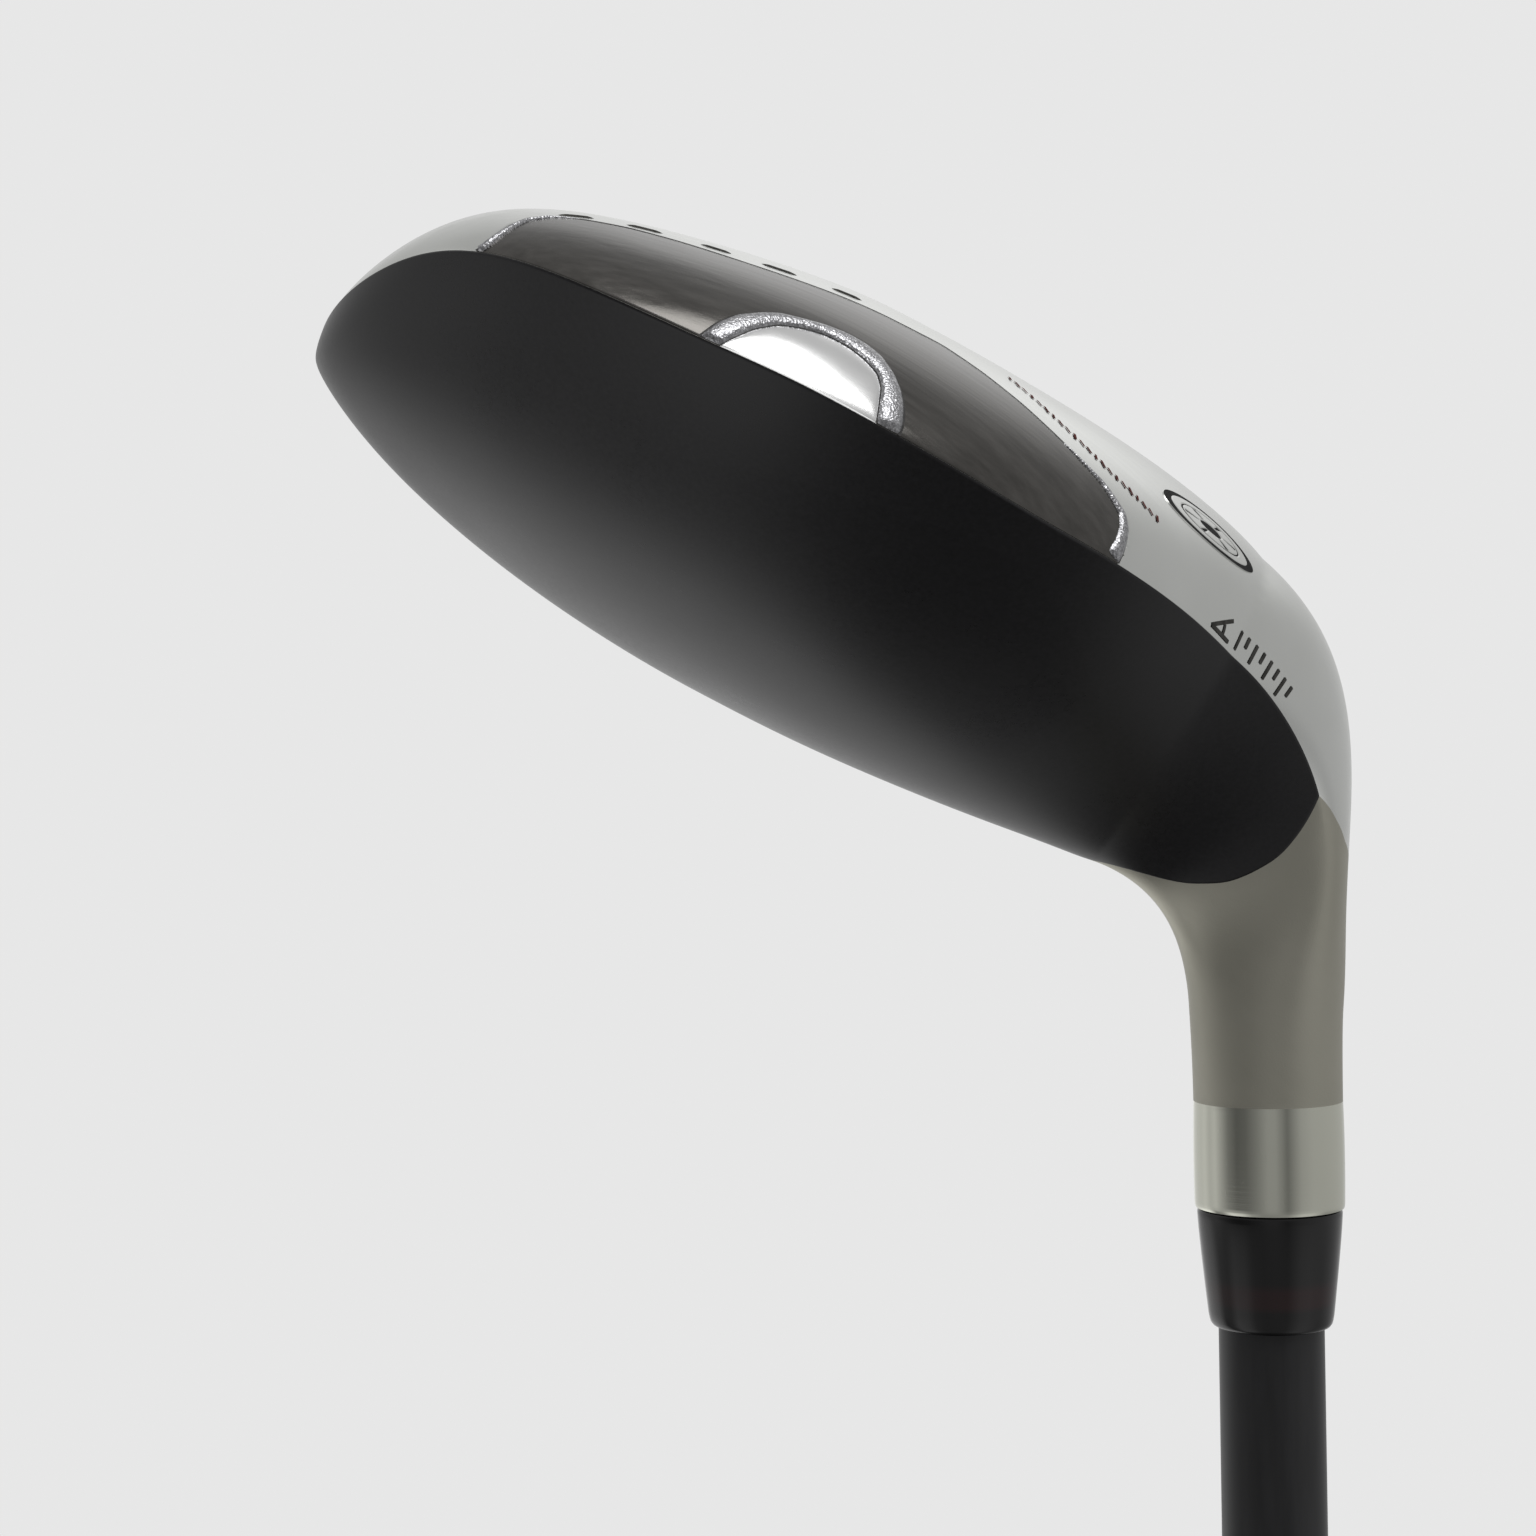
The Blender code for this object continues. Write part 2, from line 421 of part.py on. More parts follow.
steps = [butt, 120.0, TAPER_FROM, 380.0, 530.0, 680.0, TAPER_TO, tip]
turned("shaft", [(shaft_r(z), z) for z in steps] + [(shaft_in_r(z), z) for z in reversed(steps)], 40, -CLUB_TO_HOSEL, colour=(0.02, 0.02, 0.022), rough=0.45)
turned("ferrule", [(SHAFT_TIP_R + 0.15, -GAP), (FERRULE_R, -GAP), (FERRULE_R - 0.15, -3.0), (FERRULE_R - 0.42, -6.5), (FERRULE_END_R, -FERRULE_LEN + 0.5), (FERRULE_END_R - 0.35, -FERRULE_LEN), (SHAFT_TIP_R + 0.15, -FERRULE_LEN)], 40, colour=(0.01, 0.01, 0.011), rough=0.12)
pin_r, flange_r = SHAFT_TIP_IN_R - 0.15, 4.4
pin = [(0.0, 16.0), (pin_r - 0.4, 16.0), (pin_r, 16.4), (pin_r, SHAFT_IN_HOSEL + GAP), (flange_r, SHAFT_IN_HOSEL + GAP), (flange_r, SHAFT_IN_HOSEL + 1.5), (0.0, SHAFT_IN_HOSEL + 1.5)]
ring_a = np.arange(28) * 2 * pi / 28
loop_solid("tip_weight", [np.stack([r * np.cos(ring_a), r * np.sin(ring_a), 0 * ring_a + z], -1) for r, z in pin[1:-1]], (0, 0, 16.0), (0, 0, SHAFT_IN_HOSEL + 1.5), colour=(0.7, 0.55, 0.25), rough=0.35, metal=1.0)

# ---- grip, its tape and its cap ----
grip_steps = [CAP_T + GAP, 20.0, 60.0, 110.0, 160.0, 215.0, GRIP_LEN - 2.0, GRIP_LEN]


def grip_r(z):
    t = z / GRIP_LEN
    return GRIP_MOUTH_R + (GRIP_BUTT_R - GRIP_MOUTH_R) * (1 - t) ** 1.15 - (0.7 if z > GRIP_LEN - 1 else 0)


turned("grip_tape", [(shaft_r(z) + 0.13, z) for z in (butt + 1, 120.0, TAPER_FROM, GRIP_LEN - 4)] + [(shaft_r(z) + 0.33, z) for z in (GRIP_LEN - 4, TAPER_FROM, 120.0, butt + 1)], 40, -CLUB_TO_HOSEL, colour=(0.75, 0.72, 0.62), rough=0.8)
turned("grip", [(grip_r(z), z) for z in grip_steps] + [(shaft_r(z) + 0.5, z) for z in reversed(grip_steps)], 48, -CLUB_TO_HOSEL, colour=(0.02, 0.02, 0.02), rough=0.75)
cap = [(VENT_R, 0.0), (11.0, 0.0), (12.4, 0.45), (13.15, 1.5), (13.3, CAP_T), (9.0, CAP_T), (9.0, CAP_T - 0.6), (VENT_R, CAP_T - 0.6)]
turned("grip_cap", cap, 48, -CLUB_TO_HOSEL, colour=(0.02, 0.02, 0.02), rough=0.7)
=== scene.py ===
from math import cos, pi, radians, sin, tan

import bmesh
import bpy
import numpy as np
from mathutils import Matrix, Vector
from mathutils.geometry import delaunay_2d_cdt


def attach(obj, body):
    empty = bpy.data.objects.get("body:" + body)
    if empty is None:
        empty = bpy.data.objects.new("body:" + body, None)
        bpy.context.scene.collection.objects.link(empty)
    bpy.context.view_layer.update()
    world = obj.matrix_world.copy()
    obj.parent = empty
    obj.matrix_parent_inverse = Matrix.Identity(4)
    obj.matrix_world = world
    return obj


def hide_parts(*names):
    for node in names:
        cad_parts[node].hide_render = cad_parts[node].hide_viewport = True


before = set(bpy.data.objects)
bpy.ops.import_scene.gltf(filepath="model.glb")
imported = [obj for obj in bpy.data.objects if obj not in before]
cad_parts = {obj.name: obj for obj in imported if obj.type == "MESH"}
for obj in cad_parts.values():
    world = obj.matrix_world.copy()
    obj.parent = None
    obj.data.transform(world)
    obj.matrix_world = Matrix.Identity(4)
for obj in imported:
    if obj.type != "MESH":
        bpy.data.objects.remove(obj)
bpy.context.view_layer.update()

# ---------------------------------------------------------------- head surface (same law as the CAD) ----
CLUB_TO_HOSEL = 955.0
LIE = radians(60.0)
LOFT = radians(21.0)
FAN_X, FAN_Z = -23.5, 18.6
ARC = 23.5 * LIE
HOSEL_R = 6.62
S_MOUTH = -ARC - FAN_Z
S_TOE = 80.7
S_CLOSE = 38.0
W_GROUND = 48.6
Y_LEAD = 10.5
TOE_W, TOE_Y = 20.5, -7.0
FACE_END = 73.5


def smooth_curve(stations, sigma=2.2):
    """Values through given stations, joined by a monotone cubic and then averaged along the head so the skin stays
    fair.
    """
    x = np.array([p[0] for p in stations], float)
    y = np.array([p[1] for p in stations], float)
    h = np.diff(x)
    d = np.diff(y) / h
    m = np.zeros_like(y)
    m[0], m[-1] = d[0], d[-1]
    for i in range(1, len(x) - 1):
        if d[i - 1] * d[i] > 0:
            a, b = 2 * h[i] + h[i - 1], h[i] + 2 * h[i - 1]
            m[i] = (a + b) / (a / d[i - 1] + b / d[i])
    step = 0.1
    g = np.arange(x[0] - 12, x[-1] + 12, step)
    c = np.clip(g, x[0], x[-1])
    k = np.clip(np.searchsorted(x, c) - 1, 0, len(x) - 2)
    u = (c - x[k]) / h[k]
    v = (y[k] * (1 + 2 * u) * (1 - u) ** 2 + m[k] * h[k] * u * (1 - u) ** 2
         + y[k + 1] * u * u * (3 - 2 * u) + m[k + 1] * h[k] * u * u * (u - 1))
    v = v + (g - c) * np.where(g < x[0], m[0], m[-1])
    n = int(4 * sigma / step)
    kern = np.exp(-0.5 * (np.arange(-n, n + 1) * step / sigma) ** 2)
    kern /= kern.sum()
    pad = np.concatenate([v[0] + (v[1] - v[0]) * np.arange(-n, 0), v, v[-1] + (v[-1] - v[-2]) * np.arange(1, n + 1)])
    v = np.convolve(pad, kern, "valid")
    return lambda s: np.interp(s, g, v)


# depth w is measured from the bend axis, y towards the target
top_w = smooth_curve([(-44, 16.88), (-34, 16.88), (-28, 16.75), (-22, 16.45), (-15, 16.4), (-9, 16.0), (-5, 15.5), (0, 14.9), (5, 14.2), (10, 13.4), (15, 12.7), (20, 12.1), (25, 11.6), (31, 11.2), (38, 11.0), (46, 10.9), (60, 10.8), (81, 10.8)])
sole_w = smooth_curve([(-44, 30.12), (-34, 30.12), (-26, 30.2), (-20, 31.0), (-15, 33.3), (-11, 37.0), (-8, 40.3), (-5, 43.3), (-2, 45.0), (2, 46.2), (7, 46.9), (13, 47.3), (20, 47.5), (30, 47.5), (40, 47.2), (48, 46.7), (56, 46.4), (66, 46.2), (83, 46.0)], 2.0)
rim_w = smooth_curve([(-44, 23.5), (-30, 23.5), (-24, 24.2), (-18, 28.0), (-13, 31.2), (-9, 32.8), (-5, 33.8), (0, 34.7), (6, 35.1), (13, 34.9), (20, 34.4), (30, 34.1), (40, 33.8), (50, 33.5), (60, 33.6), (70, 33.8), (81, 34.0)])
rim_y = smooth_curve([(-44, -6.62), (-28, -6.62), (-20, -6.9), (-15, -7.6), (-11, -9.6), (-7, -13.0), (-3, -17.6), (2, -23.8), (7, -29.8), (13, -35.6), (20, -40.4), (28, -44.0), (38, -46.0), (48, -46.4), (60, -46.4), (81, -46.4)])
top_y = smooth_curve([(-44, 0.0), (-26, 0.0), (-15, -0.6), (-6, -2.2), (4, -4.6), (14, -6.2), (30, -7.2), (50, -7.2), (81, -7.0)])
sole_y = smooth_curve([(-44, 0.0), (-26, 0.0), (-15, 0.0), (-6, -1.0), (4, -4.0), (14, -7.5), (30, -9.5), (50, -9.5), (81, -9.0)])
crown_slope = smooth_curve([(-44, 90), (-26, 90), (-16, 84), (-8, 70), (0, 58), (10, 51), (24, 48), (50, 48), (66, 52), (81, 60)])
skirt_slope = smooth_curve([(-44, 90), (-26, 90), (-16, 88), (-8, 80), (0, 72), (12, 66), (28, 64), (50, 64), (66, 68), (81, 78)])
face_mix = smooth_curve([(-44, 0.0), (-24, 0.0), (-19, 0.04), (-12, 0.3), (-6, 0.68), (-1, 0.94), (2, 1.0), (81, 1.0)], 1.6)
low_face = smooth_curve([(-44, 23.5), (-26, 23.5), (-18, 25.5), (-12, 30.0), (-6, 36.2), (0, 40.6), (6, 42.8), (14, 44.0), (30, 45.2), (50, 44.8), (81, 44.0)])
high_face = smooth_curve([(-44, 23.5), (-26, 23.5), (-18, 22.6), (-10, 20.6), (-2, 18.6), (6, 16.9), (14, 15.5), (24, 14.2), (38, 13.4), (50, 13.3), (81, 13.4)])
crown_weight = smooth_curve([(-44, 0.7071), (-24, 0.7071), (-8, 0.75), (6, 0.85), (30, 0.95), (81, 0.9)])
skirt_weight = smooth_curve([(-44, 0.7071), (-24, 0.7071), (-8, 0.68), (6, 0.62), (30, 0.6), (81, 0.62)])
FACE_END = 73.5


def face_y(w, s, d):
    plane = Y_LEAD - (W_GROUND - w) * tan(LOFT) - d / cos(LOFT)
    b = face_mix(s)
    return (HOSEL_R - d) * (1 - b) + plane * b


def conic(p0, p1, p2, wt, t):
    a, b, c = (1 - t) ** 2, 2 * wt * t * (1 - t), t * t
    k = a + b + c
    return tuple((a * x0 + b * x1 + c * x2) / k for x0, x1, x2 in zip(p0, p1, p2))


def section(s, q, d=0.0, front=0.0):
    """Point (y, w) of the section at s. q: 0-1 crown, 1-2 skirt and sole, 2-3 sole front, 3-4 face, 4-5 top edge. d: inset."""
    s = np.asarray(s, float)
    q = np.mod(np.asarray(q, float), 5.0)
    end = S_TOE - d
    tau = np.clip((s - S_CLOSE) / (end - S_CLOSE), 0, 1)
    c = np.sqrt(1 - tau ** 2)
    ct, cs, cr = c * (1 - 0.2 * tau ** 2 - 0.25 * tau ** 8), c * (1 + 0.42 * tau ** 4 * (1 - tau ** 6)), c * (1 + 0.24 * np.sin(pi * tau ** 3))
    aw = TOE_W + (top_w(s) + d - TOE_W) * ct
    sw = TOE_W + (sole_w(s) - d - TOE_W) * cs
    rw = TOE_W + (rim_w(s) - TOE_W) * cr
    ry = TOE_Y + (rim_y(s) + d - TOE_Y) * c
    ay = TOE_Y + (top_y(s) - TOE_Y) * c
    sy = TOE_Y + (sole_y(s) - TOE_Y) * c
    lw = TOE_W + (low_face(s) - 0.6 * d - TOE_W) * cs * (1 - 0.25 * tau ** 8)
    hw = TOE_W + (high_face(s) + 0.6 * d - TOE_W) * ct * (1 - 0.25 * tau ** 8)
    lw = np.maximum(lw, hw)
    tf = np.clip((s - FACE_END) / (end - FACE_END), 0, 1)
    cf = np.sqrt(1 - tf ** 2)
    fy = lambda w: TOE_Y + (face_y(w, s, d + front) - TOE_Y) * cf
    cc, sc = radians(1) * crown_slope(s), radians(1) * skirt_slope(s)
    cy = np.clip(ry + (rw - aw) / np.tan(cc), ry, ay - 0.15 * (ay - ry))
    ky = np.clip(ry + (sw - rw) / np.tan(sc), ry, sy)
    t = q - np.floor(q)
    parts = [
        conic((ay, aw), (cy, aw), (ry, rw), crown_weight(s), t),
        conic((ry, rw), (ky, sw), (sy, sw), skirt_weight(s), t),
        conic((sy, sw), (fy(sw), sw), (fy(lw), lw), 0.7071, t),
        (fy(lw + (hw - lw) * t), lw + (hw - lw) * t),
        conic((fy(hw), hw), (fy(aw), aw), (ay, aw), 0.7071, t),
    ]
    k = np.floor(q).astype(int) + 0 * s.astype(int)
    y = np.choose(k, [p[0] + 0 * t for p in parts])
    w = np.choose(k, [p[1] + 0 * t for p in parts])
    return y, w


def skin(s, q, d=0.0, front=0.0):
    """Point in the head frame, mm: hosel axis is Z, hosel mouth at Z 0, toe towards -X, target +Y. d: inset from the outside, front: extra inset behind the face."""
    s = np.asarray(s, float)
    s = np.where(s > S_CLOSE, S_CLOSE + (s - S_CLOSE) * (S_TOE - d - S_CLOSE) / (S_TOE - S_CLOSE), s)
    y, w = section(s, q, d, front)
    phi = np.clip(s + ARC, 0, ARC) / ARC * LIE
    down = np.minimum(s + ARC, 0)
    along = np.maximum(s, 0)
    x = FAN_X + w * np.cos(phi) - along * np.sin(LIE)
    z = FAN_Z + w * np.sin(phi) + along * np.cos(LIE) + down
    return np.stack(np.broadcast_arrays(x, y, z), -1)


def skin_r(s, q, d=0.0):
    """skin() in the row frame, mm."""
    p = skin(s, q, d)
    return p + np.array([0, 0, CLUB_TO_HOSEL])


def table(stations):
    x = [p[0] for p in stations]
    y = [p[1] for p in stations]
    return lambda v: np.interp(v, x, y)


def fair(stations, sigma):
    """A given curve with its corners rounded."""
    f = smooth_curve([(a * 100, b) for a, b in stations], sigma * 100)
    return lambda v: f(np.asarray(v) * 100)


def derivatives(s, q, d=0.0):
    e = 0.02
    s, q = np.asarray(s, float), np.asarray(q, float)
    ps = (skin(np.minimum(s + e, S_TOE - 0.001), q, d) - skin(s - e, q, d)) / (2 * e)
    lo, hi = np.maximum(q - e / 10, np.floor(q + 1e-9)), np.minimum(q + e / 10, np.floor(q + 1e-9) + 0.99999)
    pq = (skin(s, hi, d) - skin(s, lo, d)) / (hi - lo)[..., None]
    return ps, pq


def normals(s, q, d=0.0):
    ps, pq = derivatives(s, q, d)
    n = np.cross(ps, pq)
    n /= np.maximum(np.linalg.norm(n, axis=-1, keepdims=True), 1e-9)
    return n


_probe = normals(np.array([30.0]), np.array([0.5]))[0]
OUT = 1.0 if _probe[1] < 0 else -1.0      # the crown faces -Y


def outward(s, q):
    return OUT * normals(s, q)


CROWN_NECK = [(-0.5, 6.4), (-0.25, 5.2), (0.0, 1.6), (0.1, -1.6), (0.17, -4.4), (0.3, -8.5), (0.39, -10.4), (0.49, -11.7), (0.59, -12.6), (0.69, -12.8), (0.79, -12.7), (0.87, -12.1), (0.95, -11.2), (1.0, -10.4)]
PANEL_EDGE = [(13.1, 1.0), (13.15, 1.08), (13.5, 1.165), (14.3, 1.231), (15.7, 1.275), (17.0, 1.311), (21.1, 1.382), (25.3, 1.452), (29.3, 1.505), (33.1, 1.54), (37.9, 1.53), (44.4, 1.508), (49.6, 1.495), (55.1, 1.488), (59.2, 1.475), (62.9, 1.44), (65.0, 1.395), (66.3, 1.32), (66.9, 1.22), (67.4, 1.09), (67.9, 1.0)]
DOME_ARC = [(34.3, 1.0), (34.7, 1.065), (35.3, 1.155), (36.1, 1.205), (37.5, 1.234), (39.0, 1.251), (40.9, 1.254), (42.5, 1.238), (44.2, 1.205), (45.5, 1.14), (46.5, 1.055), (47.0, 1.0)]
BAND_ARC = [(32.4, 1.0), (32.5, 1.051), (33.1, 1.125), (33.8, 1.178), (34.9, 1.231), (36.4, 1.279), (37.7, 1.297), (39.5, 1.302), (41.4, 1.290), (43.0, 1.273), (44.7, 1.254), (45.9, 1.221), (47.3, 1.165), (48.1, 1.098), (48.7, 1.0)]
MEDAL_S, MEDAL_Q, MEDAL_R = 6.6, 1.488, 7.1
OVAL = 0.34
neck_crown = fair([(a, b) for a, b in CROWN_NECK], 0.03)


def finish_line(q):
    """Station where the hosel's blasted finish ends, for every q; it follows the paint edge on the crown side."""
    q = np.mod(np.asarray(q, float) + 0.45, 5.0) - 0.45
    back = [(1.0, -10.4), (1.2, -12.4), (1.4, -14.0), (1.7, -15.4), (2.0, -15.8), (2.4, -14.5), (3.0, -10.0), (3.5, -4.0), (4.0, 1.5), (4.4, 5.6), (4.55, 6.2)]
    f = table(back)
    return np.where(q <= 1.0, neck_crown(np.minimum(q, 1.0)), f(q))


# ---------------------------------------------------------------- mesh helpers ----
def add_mesh(name, verts_mm, faces, mats, index=None, smooth=True, sharp=35):
    mesh = bpy.data.meshes.new(name)
    mesh.from_pydata([tuple(v) for v in (np.asarray(verts_mm, float) / 1000).tolist()], [], [tuple(int(i) for i in f) for f in faces])
    for m in mats:
        mesh.materials.append(m)
    if index is not None:
        mesh.polygons.foreach_set("material_index", np.asarray(index, np.int32))
    bm = bmesh.new()
    bm.from_mesh(mesh)
    bmesh.ops.remove_doubles(bm, verts=bm.verts, dist=1.5e-6)
    bmesh.ops.dissolve_degenerate(bm, edges=bm.edges, dist=5e-7)
    bm.to_mesh(mesh)
    bm.free()
    if smooth:
        mesh.polygons.foreach_set("use_smooth", [True] * len(mesh.polygons))
        if sharp:
            mesh.set_sharp_from_angle(angle=radians(sharp))
    mesh.update()
    obj = bpy.data.objects.new(name, mesh)
    bpy.context.scene.collection.objects.link(obj)
    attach(obj, "root")
    return obj


def sheet(grid, wrap=False, flip=False, base=0):
    n, m = grid.shape[:2]
    faces = []
    for i in range(n - 1):
        for j in range(m if wrap else m - 1):
            k = (j + 1) % m
            f = (base + i * m + j, base + (i + 1) * m + j, base + (i + 1) * m + k, base + i * m + k)
            faces.append(f[::-1] if flip else f)
    return faces


def face_out(obj, centre_mm):
    """Turns every face of a closed or open shell away from a point inside it."""
    bm = bmesh.new()
    bm.from_mesh(obj.data)
    bmesh.ops.recalc_face_normals(bm, faces=bm.faces)
    c = Vector([v / 1000 for v in centre_mm])
    score = sum((f.calc_center_median() - c).normalized().dot(f.normal) * f.calc_area() for f in bm.faces)
    if score < 0:
        bmesh.ops.reverse_faces(bm, faces=bm.faces)
    bm.to_mesh(obj.data)
    bm.free()
    obj.data.update()


def surface_patch(s, q, lift):
    """Grid of points over the skin, lifted by lift mm along its outward normal."""
    p = skin_r(s, q)
    return p + outward(s, q) * np.asarray(lift)[..., None]


def ribbon(path, widths, heights, samples=7):
    """Band over the skin along path [(s, q)...]: widths in mm, heights(u) in mm for u in -1..1 across it. Returns grid of points."""
    path = np.asarray(path, float)
    s, q = path[:, 0], path[:, 1]
    ps, pq = derivatives(s, q)
    pts = skin(s, q)
    tang = np.gradient(pts, axis=0)
    tang /= np.maximum(np.linalg.norm(tang, axis=1, keepdims=True), 1e-9)
    nrm = outward(s, q)
    side = np.cross(nrm, tang)
    side /= np.maximum(np.linalg.norm(side, axis=1, keepdims=True), 1e-9)
    widths = np.broadcast_to(np.asarray(widths, float), s.shape)
    rows = []
    for i in range(len(s)):
        jac = np.stack([ps[i], pq[i]], 1)
        inv = np.linalg.pinv(jac)
        u = np.linspace(-1, 1, samples)
        off = inv @ (side[i][:, None] * (u * widths[i] / 2))
        ss, qq = s[i] + off[0], q[i] + off[1]
        floor_q = np.floor(q[i] + 1e-6)
        qq = np.clip(qq, floor_q + 0.0, floor_q + 0.99999)
        h = np.array([heights(v, i / max(len(s) - 1, 1)) for v in u])
        rows.append(surface_patch(ss, qq, h))
    return np.array(rows)


def resample(points, step, closed=False):
    """Even points along a polyline, given in station and section coordinate, corners rounded."""
    pts = np.asarray(points, float)
    xyz = skin(pts[:, 0], pts[:, 1])
    run = np.concatenate([[0], np.cumsum(np.linalg.norm(np.diff(xyz, axis=0), axis=1))])
    n = max(int(run[-1] / step), 4)
    r = np.linspace(0, run[-1], n)
    out = np.stack([np.interp(r, run, pts[:, 0]), np.interp(r, run, pts[:, 1])], 1)
    for _ in range(6):
        out[1:-1] = 0.25 * out[:-2] + 0.5 * out[1:-1] + 0.25 * out[2:]
    return out


# ---------------------------------------------------------------- materials ----
class Mat:
    """Small helper to write node materials."""

    def __init__(self, name, metallic=0.0, ior=1.5):
        self.mat = bpy.data.materials.new(name)
        self.mat.use_nodes = True
        self.t = self.mat.node_tree
        self.p = self.t.nodes["Principled BSDF"]
        self.p.inputs["Metallic"].default_value = metallic
        self.p.inputs["IOR"].default_value = ior
        self.coord = self.t.nodes.new("ShaderNodeTexCoord").outputs["Object"]

    def node(self, kind, **props):
        n = self.t.nodes.new("ShaderNode" + kind)
        for k, v in props.items():
            setattr(n, k, v)
        return n

    def link(self, a, b):
        self.t.links.new(a, b)

    def mapped(self, rot=(0, 0, 0), scale=(1, 1, 1)):
        a = self.node("Mapping")
        a.inputs["Rotation"].default_value = rot
        self.link(self.coord, a.inputs["Vector"])
        b = self.node("Mapping")
        b.inputs["Scale"].default_value = scale
        self.link(a.outputs[0], b.inputs["Vector"])
        return b.outputs[0]

    def noise(self, vec, scale, detail=3.0, rough=0.5):
        n = self.node("TexNoise")
        n.inputs["Scale"].default_value = scale
        n.inputs["Detail"].default_value = detail
        n.inputs["Roughness"].default_value = rough
        self.link(vec, n.inputs["Vector"])
        return n.outputs["Fac"]

    def ramp(self, fac, lo, hi, a=0.0, b=1.0):
        n = self.node("MapRange")
        n.inputs["From Min"].default_value = lo
        n.inputs["From Max"].default_value = hi
        n.inputs["To Min"].default_value = a
        n.inputs["To Max"].default_value = b
        self.link(fac, n.inputs["Value"])
        return n.outputs["Result"]

    def blend(self, fac, c0, c1):
        n = self.node("Mix", data_type="RGBA")
        for sock, c in ((n.inputs[6], c0), (n.inputs[7], c1)):
            if hasattr(c, "is_linked"):
                self.link(c, sock)
            else:
                sock.default_value = (*c, 1)
        self.link(fac, n.inputs[0])
        return n.outputs[2]

    def mul(self, a, b, op="MULTIPLY"):
        n = self.node("Math", operation=op)
        for i, v in enumerate((a, b)):
            if hasattr(v, "is_linked"):
                self.link(v, n.inputs[i])
            else:
                n.inputs[i].default_value = v
        return n.outputs[0]

    def bump(self, height, strength, distance):
        n = self.node("Bump")
        n.inputs["Strength"].default_value = strength
        n.inputs["Distance"].default_value = distance
        self.link(height, n.inputs["Height"])
        prev = getattr(self, "_bump", None)
        if prev is not None:
            self.link(prev, n.inputs["Normal"])
        self._bump = n.outputs[0]
        self.link(n.outputs[0], self.p.inputs["Normal"])

    def colour(self, v):
        if hasattr(v, "is_linked"):
            self.link(v, self.p.inputs["Base Color"])
        else:
            self.p.inputs["Base Color"].default_value = (*v, 1)

    def rough(self, v):
        if hasattr(v, "is_linked"):
            self.link(v, self.p.inputs["Roughness"])
        else:
            self.p.inputs["Roughness"].default_value = v

    def coat(self, weight, rough, ior=1.5):
        self.p.inputs["Coat Weight"].default_value = weight
        self.p.inputs["Coat Roughness"].default_value = rough
        self.p.inputs["Coat IOR"].default_value = ior


HEAD_TURN = (0, radians(150), 0)     # turns object X along the head, heel to toe


def steel(name, base, base2, r0, r1, brush=0.12, brush_scale=(60, 900, 900), grain=0.0, turned=False, streak=0.0):
    m = Mat(name, metallic=1.0)
    along = m.mapped((0, 0, 0) if turned else HEAD_TURN, (30, 30, 4500) if turned else brush_scale)
    lines = m.noise(along, 1.0, 4.0, 0.6)
    big = m.noise(m.mapped(HEAD_TURN, (45, 45, 45)), 1.0, 3.0, 0.5)
    m.colour(m.blend(m.ramp(m.mul(m.mul(lines, streak), m.mul(big, 1 - streak), "ADD"), 0.35, 0.65), base, base2))
    both = m.mul(m.mul(lines, 0.6), m.mul(big, 0.4), "ADD")
    m.rough(m.ramp(both, 0.3, 0.7, r0, r1))
    if brush:
        m.bump(lines, brush, 0.00004)
    # scattered hairline scratches from use
    scr = m.mapped((0, radians(118), radians(21)), (18, 2600, 2600))
    s = m.noise(scr, 1.0, 1.0, 0.4)
    m.bump(m.ramp(s, 0.70, 0.74), 0.10, 0.00002)
    if grain:
        m.bump(m.noise(m.coord, 6500, 2.0, 0.6), grain, 0.00003)
    return m


sole_m = steel("sole_steel", (0.71, 0.72, 0.69), (0.79, 0.80, 0.775), 0.16, 0.27, 0.08)
hosel_m = steel("hosel_blasted", (0.455, 0.445, 0.375), (0.51, 0.495, 0.425), 0.42, 0.50, 0.04, grain=0.35)
ring_m = steel("mouth_ring_polished", (0.71, 0.715, 0.62), (0.78, 0.785, 0.69), 0.08, 0.14, 0.10, turned=True)
face_m = steel("face_satin", (0.50, 0.50, 0.49), (0.57, 0.57, 0.56), 0.30, 0.42, 0.35, (25, 1500, 1500), grain=0.10)
groove_m = steel("score_line_floor", (0.10, 0.10, 0.10), (0.16, 0.16, 0.155), 0.45, 0.6, 0.1)
panel_m = steel("panel_gunmetal", (0.098, 0.094, 0.088), (0.140, 0.134, 0.126), 0.12, 0.27, 0.45, (14, 1100, 1100), streak=0.75)
chrome_m = Mat("weight_chrome", metallic=1.0)
chrome_m.colour(chrome_m.blend(chrome_m.ramp(chrome_m.noise(chrome_m.coord, 260, 3), 0.35, 0.65), (0.95, 0.95, 0.945), (0.90, 0.90, 0.90)))
chrome_m.rough(chrome_m.ramp(chrome_m.noise(chrome_m.mapped(HEAD_TURN, (60, 700, 700)), 1.0, 3), 0.35, 0.75, 0.21, 0.29))
chrome_m.bump(chrome_m.noise(chrome_m.mapped((0.3, radians(118), 0.4), (30, 2400, 2400)), 1.0, 1.0), 0.02, 0.00002)

